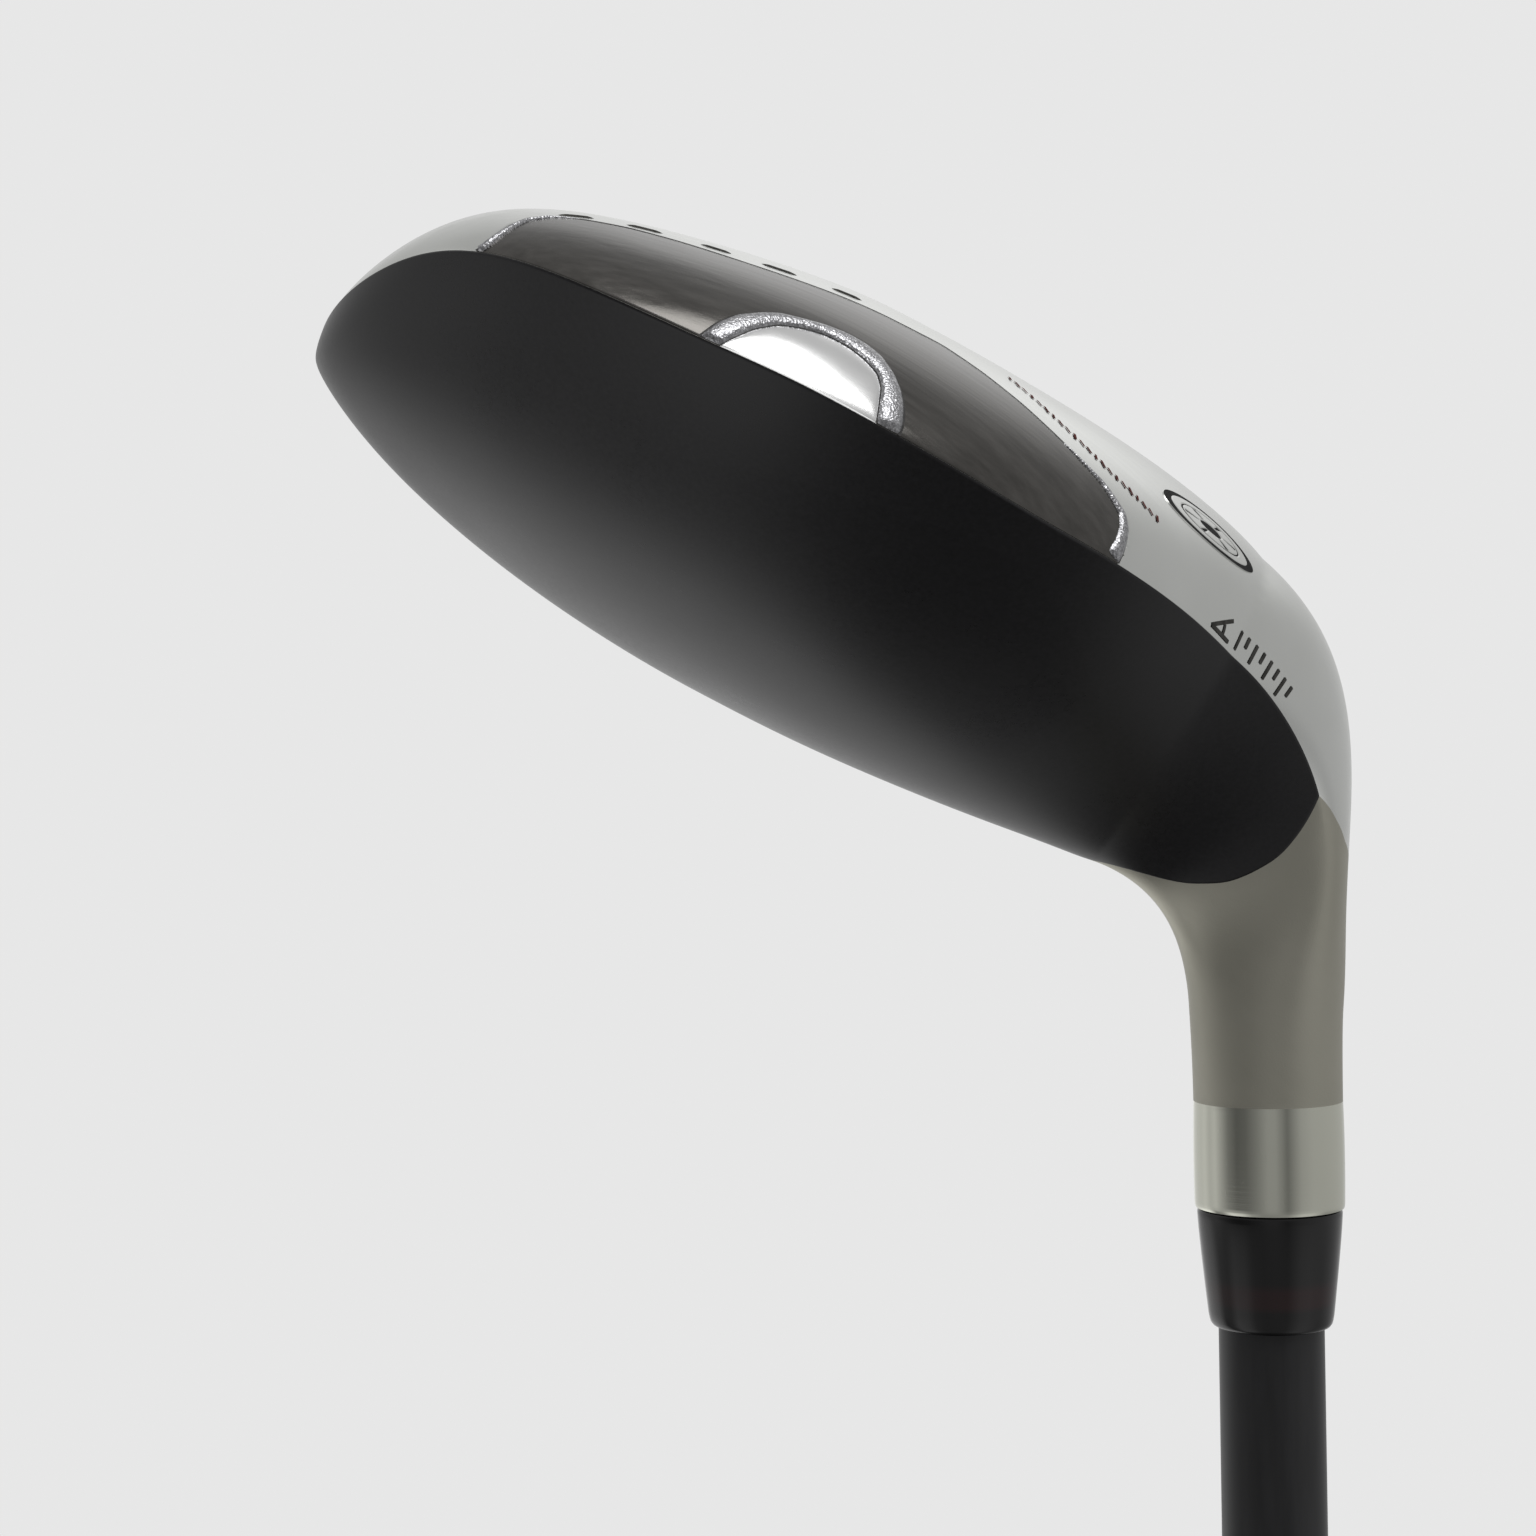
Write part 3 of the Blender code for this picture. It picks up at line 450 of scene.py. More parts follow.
stipple_m = Mat("stippled_border", metallic=1.0)
v = stipple_m.node("TexVoronoi")
v.inputs["Scale"].default_value = 5200
stipple_m.link(stipple_m.coord, v.inputs["Vector"])
n1 = stipple_m.noise(stipple_m.coord, 3600, 3.0, 0.7)
stipple_m.colour(stipple_m.blend(stipple_m.ramp(n1, 0.40, 0.62), (0.27, 0.27, 0.28), (0.52, 0.52, 0.535)))
stipple_m.rough(stipple_m.ramp(n1, 0.4, 0.6, 0.38, 0.24))
stipple_m.bump(v.outputs["Distance"], 0.55, 0.00008)
stipple_m.bump(n1, 0.35, 0.00008)

line_m = Mat("engraved_line", metallic=0.0)
line_m.p.inputs["Specular IOR Level"].default_value = 0.15
ln = line_m.noise(line_m.coord, 900, 3)
line_m.colour(line_m.blend(line_m.ramp(ln, 0.4, 0.6), (0.035, 0.035, 0.035), (0.075, 0.072, 0.07)))
line_m.rough(line_m.ramp(ln, 0.3, 0.7, 0.4, 0.6))

mark_m = Mat("filled_mark")
mn = mark_m.noise(mark_m.coord, 1500, 3)
mark_m.colour(mark_m.blend(mark_m.ramp(mn, 0.35, 0.65), (0.055, 0.054, 0.05), (0.085, 0.083, 0.078)))
mark_m.p.inputs["Specular IOR Level"].default_value = 0.0
mark_m.rough(mark_m.ramp(mn, 0.3, 0.7, 0.7, 0.85))
red_m = Mat("red_mark")
rn = red_m.noise(red_m.coord, 1500, 3)
red_m.colour(red_m.blend(red_m.ramp(rn, 0.35, 0.65), (0.075, 0.030, 0.028), (0.13, 0.05, 0.045)))
red_m.p.inputs["Specular IOR Level"].default_value = 0.0
red_m.rough(red_m.ramp(rn, 0.3, 0.7, 0.7, 0.85))

crown_m = Mat("crown_satin_black")
fl = crown_m.noise(crown_m.coord, 2600, 2.0, 0.7)
big = crown_m.noise(crown_m.coord, 70, 3.0, 0.5)
crown_m.colour(crown_m.blend(crown_m.ramp(fl, 0.35, 0.75), (0.0100, 0.0094, 0.0108), (0.0160, 0.0152, 0.0172)))
crown_m.rough(crown_m.ramp(crown_m.mul(crown_m.mul(fl, 0.5), crown_m.mul(big, 0.5), "ADD"), 0.35, 0.65, 0.27, 0.34))
crown_m.bump(crown_m.noise(crown_m.coord, 1700, 2.0, 0.5), 0.10, 0.00002)
crown_m.p.inputs["Specular IOR Level"].default_value = 0.5

ferrule_m = Mat("ferrule_gloss")
z = ferrule_m.node("SeparateXYZ")
ferrule_m.link(ferrule_m.coord, z.inputs[0])
zz = z.outputs["Z"]
band = ferrule_m.mul(ferrule_m.ramp(zz, (CLUB_TO_HOSEL - 8.7) / 1000, (CLUB_TO_HOSEL - 8.1) / 1000), ferrule_m.ramp(zz, (CLUB_TO_HOSEL - 6.0) / 1000, (CLUB_TO_HOSEL - 6.8) / 1000))
fn = ferrule_m.noise(ferrule_m.coord, 500, 3)
ferrule_m.colour(ferrule_m.blend(band, (0.0075, 0.0073, 0.0075), (0.022, 0.0085, 0.009)))
ferrule_m.rough(ferrule_m.ramp(fn, 0.3, 0.7, 0.10, 0.17))
ferrule_m.bump(ferrule_m.noise(ferrule_m.mapped((0, 0, 0), (40, 40, 2600)), 1.0, 2), 0.03, 0.00002)

shaft_m = Mat("shaft_satin_black")
sn = shaft_m.noise(shaft_m.mapped((0, 0, 0), (900, 900, 120)), 1.0, 3.0, 0.6)
sb = shaft_m.noise(shaft_m.coord, 40, 3)
shaft_m.colour(shaft_m.blend(shaft_m.ramp(sn, 0.35, 0.7), (0.0115, 0.0115, 0.0125), (0.0175, 0.0175, 0.019)))
shaft_m.rough(shaft_m.ramp(shaft_m.mul(shaft_m.mul(sn, 0.5), shaft_m.mul(sb, 0.5), "ADD"), 0.35, 0.65, 0.34, 0.44))
shaft_m.bump(shaft_m.noise(shaft_m.mapped((0, 0, 0), (1400, 1400, 1400)), 1.0, 2), 0.06, 0.00002)

medal_m = Mat("medallion_black")
me = medal_m.noise(medal_m.coord, 1200, 3)
medal_m.colour(medal_m.blend(medal_m.ramp(me, 0.35, 0.65), (0.012, 0.012, 0.012), (0.028, 0.028, 0.028)))
medal_m.rough(medal_m.ramp(me, 0.3, 0.7, 0.7, 0.85))
medal_m.p.inputs["Specular IOR Level"].default_value = 0.1

rubber_m = Mat("grip_rubber")
rb = rubber_m.noise(rubber_m.coord, 1800, 4.0, 0.65)
rw = rubber_m.noise(rubber_m.coord, 60, 3)
rubber_m.colour(rubber_m.blend(rubber_m.ramp(rw, 0.35, 0.65), (0.013, 0.013, 0.0135), (0.024, 0.0235, 0.023)))
rubber_m.rough(rubber_m.ramp(rw, 0.3, 0.7, 0.62, 0.80))
rubber_m.bump(rb, 0.35, 0.00012)
cap_m = Mat("cap_rubber")
cb = cap_m.noise(cap_m.coord, 1500, 4.0, 0.65)
cap_m.colour(cap_m.blend(cap_m.ramp(cb, 0.35, 0.65), (0.012, 0.012, 0.0125), (0.022, 0.022, 0.022)))
cap_m.rough(cap_m.ramp(cb, 0.3, 0.7, 0.5, 0.66))
cap_m.bump(cb, 0.25, 0.0001)
paint_m = Mat("grip_paint")
pb = paint_m.noise(paint_m.coord, 1500, 3.0, 0.6)
paint_m.colour(paint_m.blend(paint_m.ramp(pb, 0.35, 0.65), (0.40, 0.40, 0.40), (0.52, 0.52, 0.51)))
paint_m.rough(paint_m.ramp(pb, 0.3, 0.7, 0.5, 0.65))

# ---------------------------------------------------------------- head body ----
cols = np.concatenate([np.linspace(0, 1, 61)[:-1], 1 + np.linspace(0, 1, 141)[:-1] ** 1.15, np.linspace(2, 3, 45)[:-1], np.array([3.0, 3.015, 3.03, 3.045, 3.06, 3.08]), np.linspace(3.1, 3.9, 13), np.array([3.92, 3.94, 3.955, 3.97, 3.985]), np.linspace(4, 5, 23)[:-1]])
RING_Z = 9.55
edge_s = finish_line(cols)
rows_s = []
for z0 in np.concatenate([[0.0, 0.12, 0.3], np.linspace(0.6, RING_Z - 0.15, 9), [RING_Z - 0.04]]):
    rows_s.append(np.full_like(cols, S_MOUTH + z0))
n_ring = len(rows_s)
ring_top = S_MOUTH + RING_Z
for t in np.linspace(0, 1, 44):
    rows_s.append(ring_top + (edge_s - ring_top) * t)
n_hosel = len(rows_s)
stretch = 0.62 * (S_TOE - S_CLOSE)
for t in np.linspace(0, 1, 221)[1:]:
    run = edge_s + t * (S_CLOSE - edge_s + stretch * pi / 2)
    rows_s.append(np.where(run > S_CLOSE, S_CLOSE + (S_TOE - S_CLOSE) * np.sin(np.clip((run - S_CLOSE) / stretch, 0, pi / 2)), run))
S = np.array(rows_s)
Q = np.broadcast_to(cols, S.shape)
P = skin_r(S, Q)
# the rim's edge runs out below the crown: the neck is faired there
fair_w = np.zeros(S.shape)
for i in range(n_ring, len(rows_s)):
    fair_w[i] = np.clip((edge_s - S[i]) / 1.4, 0, 1) * np.clip((S[i] - ring_top) / 7.0, 0, 1)
near_rim = np.clip(1.9 - np.abs(np.mod(Q + 2.5, 5.0) - 3.5) / 0.45, 0, 1)
near_rim = near_rim * near_rim * (3 - 2 * near_rim)
fair_w *= near_rim


def round_off(loop, sigma):
    """A closed loop of points with its corners rounded along its length, its radius kept."""
    step = np.linalg.norm(np.diff(np.concatenate([loop, loop[:1]]), axis=0), axis=1)
    run = np.concatenate([[0], np.cumsum(step)])
    even = np.linspace(0, run[-1], 1025)[:-1]
    ring = np.concatenate([loop, loop[:1]])
    pts = np.stack([np.interp(even, run, ring[:, k]) for k in range(3)], 1)
    freq = np.fft.fftfreq(1024, run[-1] / 1024)
    gain = np.exp(-2 * (pi * sigma * freq) ** 2)
    gain = 2 * gain - gain ** 2
    pts = np.real(np.fft.ifft(np.fft.fft(pts, axis=0) * gain[:, None], axis=0))
    pts = np.concatenate([pts, pts[:1]])
    even = np.append(even, run[-1])
    return np.stack([np.interp(run[:-1], even, pts[:, k]) for k in range(3)], 1)


for i in range(n_ring, n_hosel + 1):
    P[i] = P[i] + fair_w[i][:, None] * (round_off(P[i], 3.4) - P[i])
zl = P[..., 2] - CLUB_TO_HOSEL
axis = np.stack([P[..., 0], P[..., 1], 0 * zl], -1)
axis /= np.maximum(np.linalg.norm(axis, axis=-1, keepdims=True), 1e-9)
swell = np.zeros(S.shape)
for i in range(n_ring):
    z0 = S[i, 0] - S_MOUTH
    swell[i] = 0.10 * max(0.0, sin(pi * min(max((z0 + 1.2) / (RING_Z + 1.2), 0), 1))) ** 0.7 - 0.05 * max(0.0, 1 - z0 / 0.25) ** 1.5
P = P + axis * swell[..., None]
# the skin sinks under every inlaid piece so that nothing shares its surface
inside = np.zeros(S.shape)
qq = np.mod(Q + 0.45, 5.0) - 0.45
crown_in = np.clip((S - neck_crown(np.clip(qq, -0.45, 1.0)) - 0.5) / 1.2, 0, 1) * np.clip((qq + 0.36) / 0.15, 0, 1) * np.clip((0.985 - qq) / 0.03, 0, 1)
edge_q = table(PANEL_EDGE)
panel_in = np.where((S > 13.3) & (S < 67.6), np.clip((edge_q(S) - 0.010 - Q) / 0.03, 0, 1) * np.clip((Q - 1.008) / 0.02, 0, 1), 0)
medal_xyz = skin_r(MEDAL_S, MEDAL_Q)
mu, mv = derivatives(np.array([MEDAL_S]), np.array([MEDAL_Q]))
mu = mu[0] * 6.0 - mv[0] * 0.025
mu /= np.linalg.norm(mu)
mn_ = outward(np.array([MEDAL_S]), np.array([MEDAL_Q]))[0]
mv = np.cross(mn_, mu)
rel = P - medal_xyz
oval_r = np.sqrt((rel @ mu) ** 2 + ((rel @ mv) / OVAL) ** 2)
medal_in = np.where(np.linalg.norm(rel, axis=-1) < 9, np.clip((MEDAL_R - 1.6 - oval_r) / 0.8, 0, 1), 0)
face_in = np.clip((S - 6) / 2, 0, 1) * np.clip((70 - S) / 3, 0, 1) * np.clip((Q - 3.035) / 0.03, 0, 1) * np.clip((3.965 - Q) / 0.03, 0, 1)
sink = np.maximum.reduce([0.45 * crown_in, 0.45 * panel_in, 0.12 * medal_in, 0.9 * face_in])
nrm = outward(np.minimum(S, S_TOE - 0.05), Q)
P = P - nrm * sink[..., None]

n, m = P.shape[:2]
verts = list(P.reshape(-1, 3))
faces = sheet(P, wrap=True)
index = []
for i in range(n - 1):
    index += [2 if i < n_ring - 1 else (1 if i < n_hosel - 1 else 0)] * m
# inner lip and bore of the hosel mouth
mouth = []
for r, z0 in ((6.2, -0.0), (5.4, 0.0), (4.95, 0.06), (4.88, 0.5), (4.88, 6.0)):
    a = np.arctan2(P[0, :, 1], P[0, :, 0])
    mouth.append(np.stack([r * np.cos(a), r * np.sin(a), 0 * a + CLUB_TO_HOSEL + z0], -1))
prev = 0
for ring in mouth:
    base = len(verts)
    verts += list(ring)
    for j in range(m):
        k = (j + 1) % m
        faces.append((prev + j, prev + k, base + k, base + j))
        index.append(2)
    prev = base
body = add_mesh("head_body_visual", np.array(verts), faces, [sole_m.mat, hosel_m.mat, ring_m.mat], index, sharp=50)
face_out(body, (-38, -18, CLUB_TO_HOSEL + 55))
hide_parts("head_body")


# ---------------------------------------------------------------- crown ----
def crown_grid(lift, nq=110, ns=190):
    c = np.linspace(0, 1, nq)
    q = -0.45 + 1.45 * c
    q = np.concatenate([[-0.45, -0.447, -0.44], q[1:-1], [0.9915, 0.9955, 0.998, 1.0]])
    q = np.unique(q)
    start = neck_crown(q)
    rows, lifts = [], []
    ts = np.concatenate([[0, 0.0008, 0.002, 0.004], np.linspace(0.008, 1, ns)])
    for t in ts:
        run = start + t * (S_CLOSE - start + stretch * pi / 2)
        s = np.where(run > S_CLOSE, S_CLOSE + (S_TOE - S_CLOSE) * np.sin(np.clip((run - S_CLOSE) / stretch, 0, pi / 2)), run)
        rows.append(s)
    s = np.array(rows)
    q = np.broadcast_to(q, s.shape)
    d_rear = (1 - q) * 45.0
    d_front = (q + 0.45) * 6.0
    d_neck = s - start
    d = np.minimum.reduce([np.maximum(d_rear, 0), np.maximum(d_front, 0), np.maximum(d_neck, 0)])
    edge = np.clip(d / 0.22, 0, 1)
    lift_now = lift * np.sqrt(np.clip(1 - (1 - edge) ** 2, 0, 1))
    # keep clear of the pole's crease line
    return surface_patch(np.minimum(s, S_TOE - 0.02), np.minimum(q, 0.99999), lift_now)


outer = crown_grid(0.07)
crown = add_mesh("crown_visual", outer.reshape(-1, 3), sheet(outer), [crown_m.mat], sharp=50)
face_out(crown, (-38, 10, CLUB_TO_HOSEL + 90))
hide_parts("crown_shell")

# ---------------------------------------------------------------- rear panel, its border and the weight ----
edge_line = resample([(s, q) for s, q in PANEL_EDGE], 0.25)
panel_top = lambda s: np.interp(s, edge_line[:, 0], edge_line[:, 1])
t = np.linspace(0, 1, 260)
t = 0.2 * t + 0.8 * 0.5 * (1 - np.cos(pi * t))
ps = 13.12 + (67.88 - 13.12) * t
c = np.concatenate([[0, 0.004, 0.012, 0.03], np.linspace(0.05, 0.95, 30), [0.975, 0.99, 0.996, 1.0]])
q_hi = np.maximum(panel_top(ps), 1.0005)
Sg = np.broadcast_to(ps[:, None], (len(ps), len(c)))
Qg = 1.0 + (q_hi[:, None] - 1.0) * c[None, :]
width = (q_hi[:, None] - 1.0) * 22.0
dist = np.minimum(np.minimum(c[None, :] * width, (1 - c[None, :]) * width), np.minimum(Sg - 13.1, 67.9 - Sg) + 0.02)
edge = np.clip(dist / 0.12, 0, 1)
lift = -0.03 + 0.13 * np.sqrt(np.clip(1 - (1 - edge) ** 2, 0, 1))
grid = surface_patch(Sg, Qg, lift)
panel = add_mesh("rear_panel_visual", grid.reshape(-1, 3), sheet(grid), [panel_m.mat], sharp=50)
face_out(panel, (-38, 0, CLUB_TO_HOSEL + 55))
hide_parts("rear_panel")


def add_ribbon(name, path, widths, heights, mat, samples=9):
    g = ribbon(path, widths, heights, samples)
    o = add_mesh(name, g.reshape(-1, 3), sheet(g), [mat], sharp=60)
    face_out(o, (-38, -5, CLUB_TO_HOSEL + 50))
    return o


bead = lambda top: (lambda u, t: 0.04 + top * (max(0.0, 1 - u * u)) ** 0.5)
# fine engraved line along the panel's edge
add_ribbon("panel_edge_line", edge_line, 0.20, lambda u, t: 0.135 - 0.05 * u * u, line_m.mat, 5)


def end_border(name, stations, w_wide, w_thin, power):
    """Border that starts wide on the rim and thins out along the panel's edge."""
    p = resample(stations, 0.12)
    k = np.linspace(0, 1, len(p))
    w = w_thin + (w_wide - w_thin) * (1 - k) ** power
    ps_, pq_ = derivatives(p[:, 0], p[:, 1])
    pts = skin(p[:, 0], p[:, 1])
    tang = np.gradient(pts, axis=0)
    tang /= np.linalg.norm(tang, axis=1, keepdims=True)
    side = np.cross(outward(p[:, 0], p[:, 1]), tang)
    mid = skin(40.0, 1.2)
    inner = np.sign(np.sum(side * (mid - pts), axis=1))
    inner = np.where(inner == 0, 1, inner)
    moved = []
    for i in range(len(p)):
        off = np.linalg.pinv(np.stack([ps_[i], pq_[i]], 1)) @ (side[i] * inner[i] * w[i] / 2)
        moved.append((p[i, 0] + off[0], max(p[i, 1] + off[1], 1.0)))
    return add_ribbon(name, moved, w, lambda u, t: -0.02 + (0.11 + (0.05 + 0.30 * (1 - t) ** 0.7) * max(0.0, 1 - u * u) ** 0.5) * min(1.0, t / 0.03) ** 0.5, stipple_m.mat, 9)


heel_part = [(s, q) for s, q in PANEL_EDGE if s <= 22]
toe_part = [(s, q) for s, q in reversed(PANEL_EDGE) if s >= 62]
end_border("panel_border_heel", heel_part, 1.45, 0.12, 1.3)
end_border("panel_border_toe", toe_part, 0.80, 0.12, 1.0)

inner = resample(DOME_ARC, 0.15)
outer_arc = resample(BAND_ARC, 0.15)
k = np.linspace(0, 1, 150)
pick = lambda a: np.stack([np.interp(k, np.linspace(0, 1, len(a)), a[:, 0]), np.interp(k, np.linspace(0, 1, len(a)), a[:, 1])], 1)
ia, oa = pick(inner), pick(outer_arc)
across = np.linspace(0, 1, 13)
ss = ia[:, None, 0] + (oa - ia)[:, None, 0] * across
qb = ia[:, None, 1] + (oa - ia)[:, None, 1] * across
hb = 0.08 + 0.42 * np.sqrt(np.clip(1 - (2 * across - 1) ** 2, 0, 1))
close = np.clip(np.minimum(k, 1 - k) / 0.02, 0, 1) ** 0.5
g = surface_patch(ss, np.maximum(qb, 1.0), -0.05 + (hb[None, :] + 0.05) * close[:, None])
o = add_mesh("weight_border", g.reshape(-1, 3), sheet(g), [stipple_m.mat], sharp=60)
face_out(o, (-38, -5, CLUB_TO_HOSEL + 50))
add_ribbon("weight_border_line", oa, 0.22, lambda u, t: 0.13, line_m.mat, 3)
add_ribbon("weight_seam_line", ia, 0.14, lambda u, t: 0.16, line_m.mat, 3)

# chrome weight: a low dome inside the border
top = lambda s: np.interp(s, ia[:, 0], ia[:, 1])
t = np.linspace(0, 1, 90)
ds_ = 34.3 + (47.0 - 34.3) * 0.5 * (1 - np.cos(pi * t))
c = np.linspace(0, 1, 40)
Sg = np.broadcast_to(ds_[:, None], (90, 40))
q_hi = np.maximum(top(ds_), 1.0003)
Qg = 1.0 + (q_hi[:, None] - 1.0) * c[None, :]
x = (Sg - 40.6) / 6.35
yv = c[None, :] * np.ones_like(Sg)
dome = np.sqrt(np.clip(1 - x ** 2, 0, 1)) ** 0.9 * np.sqrt(np.clip(1 - np.abs(2 * (0.12 + 0.88 * yv) - 1) ** 2.2, 0, 1))
lift = 0.08 + 0.30 * dome
g = surface_patch(Sg, Qg, lift)
under = surface_patch(Sg[:, :1], Qg[:, :1], np.full((90, 1), -0.4))
mid_wall = surface_patch(Sg[:, :1], Qg[:, :1], lift[:, :1] - 0.10)
g = np.concatenate([under, mid_wall, g], axis=1)
weight = add_mesh("back_weight_visual", g.reshape(-1, 3), sheet(g), [chrome_m.mat], sharp=60)
face_out(weight, (-38, -5, CLUB_TO_HOSEL + 50))
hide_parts("back_weight")


# ---------------------------------------------------------------- medallion and sole marks ----
def local_map(s0, q0, s1=None, q1=None):
    """Maps flat (u, v) mm near a point of the skin to station and section coordinate; u runs towards (s1, q1)."""
    ps_, pq_ = derivatives(np.array([s0]), np.array([q0]))
    ps_, pq_ = ps_[0], pq_[0]
    n_ = outward(np.array([s0]), np.array([q0]))[0]
    if s1 is None:
        u_dir = ps_ / np.linalg.norm(ps_)
    else:
        u_dir = ps_ * (s1 - s0) + pq_ * (q1 - q0)
        u_dir /= np.linalg.norm(u_dir)
    v_dir = np.cross(n_, u_dir)
    if np.dot(v_dir, pq_) < 0:
        v_dir = -v_dir
    inv = np.linalg.pinv(np.stack([ps_, pq_], 1))

    def to_sq(u, v):
        u, v = np.asarray(u, float), np.asarray(v, float)
        off = np.tensordot(inv, u[None] * u_dir.reshape((3,) + (1,) * u.ndim) + v[None] * v_dir.reshape((3,) + (1,) * u.ndim), axes=(1, 0))
        return s0 + off[0], q0 + off[1]

    return to_sq


to_sq = local_map(MEDAL_S, MEDAL_Q, MEDAL_S + 6.0, MEDAL_Q - 0.025)
radii = np.concatenate([[0.02, 0.5, 1.0], np.arange(1.12, MEDAL_R - 0.01, 0.12), [MEDAL_R - 0.08, MEDAL_R - 0.02, MEDAL_R]])
turn = np.linspace(0, 2 * pi, 145)[:-1]
RR, TT = np.meshgrid(radii, turn, indexing="ij")
u, v = RR * np.cos(TT), OVAL * RR * np.sin(TT)
Sm, Qm = to_sq(u, v)
soft = lambda x, a, b: np.clip((x - a) / (b - a), 0, 1)
KR = MEDAL_R / 5.8
RR = RR / KR
rim = soft(RR, 4.95, 5.1) * (1 - soft(RR, 5.62, 5.8))
ring2 = soft(RR, 3.4, 3.5) * (1 - soft(RR, 3.66, 3.76))
hub = 1 - soft(RR, 1.3, 1.5)
spoke = np.clip((np.cos(6 * TT) - 0.80) / 0.08, 0, 1) * soft(RR, 1.5, 1.7) * (1 - soft(RR, 3.2, 3.4))
ticks = np.clip((np.cos(24 * TT) - 0.35) / 0.25, 0, 1) * soft(RR, 4.0, 4.12) * (1 - soft(RR, 4.6, 4.72))
outline = soft(RR, 4.78, 4.88) * (1 - soft(RR, 5.74, 5.82))
raised = np.maximum.reduce([ring2, hub, spoke, outline])
lift = 0.10 - 0.05 * raised + 0.03 * (1 - soft(RR, 5.7, 5.8)) * soft(RR, 5.6, 5.7) - 0.1 * soft(RR, 5.75, 5.8)
g = surface_patch(Sm, Qm, lift)
faces = sheet(g, wrap=True)
idx = []
for i in range(len(radii) - 1):
    for j in range(len(turn)):
        idx.append(1 if raised[i:i + 2, [j, (j + 1) % len(turn)]].min() > 0.5 else 0)
medal = add_mesh("sole_medallion_visual", g.reshape(-1, 3), faces + [tuple(range(len(turn)))], [sole_m.mat, medal_m.mat], idx + [1], sharp=40)
face_out(medal, (-38, -18, CLUB_TO_HOSEL + 55))
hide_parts("sole_medallion")


def strokes(name, mapper, lines, width, mat, height=0.055, on_panel=False):
    """Engraved and filled strokes: each line is a list of flat (u, v) points."""
    all_v, all_f = [], []
    for pts in lines:
        pts = np.asarray(pts, float)
        run = np.concatenate([[0], np.cumsum(np.linalg.norm(np.diff(pts, axis=0), axis=1))])
        k = np.linspace(0, run[-1], max(int(run[-1] / 0.12), 3))
        pts = np.stack([np.interp(k, run, pts[:, 0]), np.interp(k, run, pts[:, 1])], 1)
        s_, q_ = mapper(pts[:, 0], pts[:, 1])
        g_ = ribbon(np.stack([s_, q_], 1), width, lambda u, t: height, 3)
        all_f += sheet(g_, base=len(all_v))
        all_v += list(g_.reshape(-1, 3))
    o_ = add_mesh(name, np.array(all_v), all_f, [mat], sharp=None)
    face_out(o_, (-38, -5, CLUB_TO_HOSEL + 50))
    return o_


def arc_pts(cx, cy, r, a0, a1, n=14, ry=None):
    a_ = np.radians(np.linspace(a0, a1, n))
    return [(cx + r * cos(x_), cy + (ry or r) * sin(x_)) for x_ in a_]


def glyph(c, x, h):
    """A plain sign as strokes, its lower left corner at (x, 0)."""
    w = 0.62 * h
    if c == "<":          # angle sign
        return [[(x + w, 0), (x, 0), (x + 0.75 * w, 0.85 * h)], arc_pts(x, 0, 0.55 * w, 2, 52, 8)]
    if c == "2":
        return [arc_pts(x + w / 2, h - w / 2, w / 2, 165, -35, 12) + [(x, 0), (x + w, 0)]]
    if c == "1":
        return [[(x + 0.15 * w, 0.75 * h), (x + 0.55 * w, h), (x + 0.55 * w, 0)]]
    if c == "o":
        return [arc_pts(x + 0.25 * w, h - 0.2 * w, 0.22 * w, 0, 360, 14)]
    return []


def path_map(a_, b_):
    """Flat (u, v) mm to station and section coordinate: u runs along the line a-b, v along the section, both in true lengths."""
    tt_ = np.linspace(-0.2, 1.6, 260)
    s_ = a_[0] + (b_[0] - a_[0]) * tt_
    q_ = a_[1] + (b_[1] - a_[1]) * tt_
    p_ = skin(s_, q_)
    run_ = np.concatenate([[0], np.cumsum(np.linalg.norm(np.diff(p_, axis=0), axis=1))])
    run_ -= np.interp(0.0, tt_, run_)

    def to(u, v):
        out_s, out_q = [], []
        for uu, vv in zip(np.ravel(u), np.ravel(v)):
            t_ = np.interp(uu, run_, tt_)
            s1 = a_[0] + (b_[0] - a_[0]) * t_
            q1 = a_[1] + (b_[1] - a_[1]) * t_
            qs_ = q1 + np.linspace(0, 0.5, 80)
            pp = skin(np.full(80, s1), qs_)
            rr = np.concatenate([[0], np.cumsum(np.linalg.norm(np.diff(pp, axis=0), axis=1))])
            out_s.append(s1)
            out_q.append(np.interp(vv, rr, qs_))
        return np.array(out_s), np.array(out_q)

    return to


mark_map = path_map((3.4, 1.047), (-4.9, 1.022))
h = 2.0
W = 1.30
lines = [[(0.2, 0.0), (3.6, 0.0)], [(0.2, 0.0), (3.0, h)], arc_pts(0.2, 0, 2.1, 2, 30, 8)]
for k in range(8):
    x0 = 5.0 + 1.18 * k
    lines.append([(x0, 0.0 if k % 2 == 0 else 0.42 * h), (x0, h)])
strokes("loft_mark", mark_map, lines, 0.36, mark_m.mat)

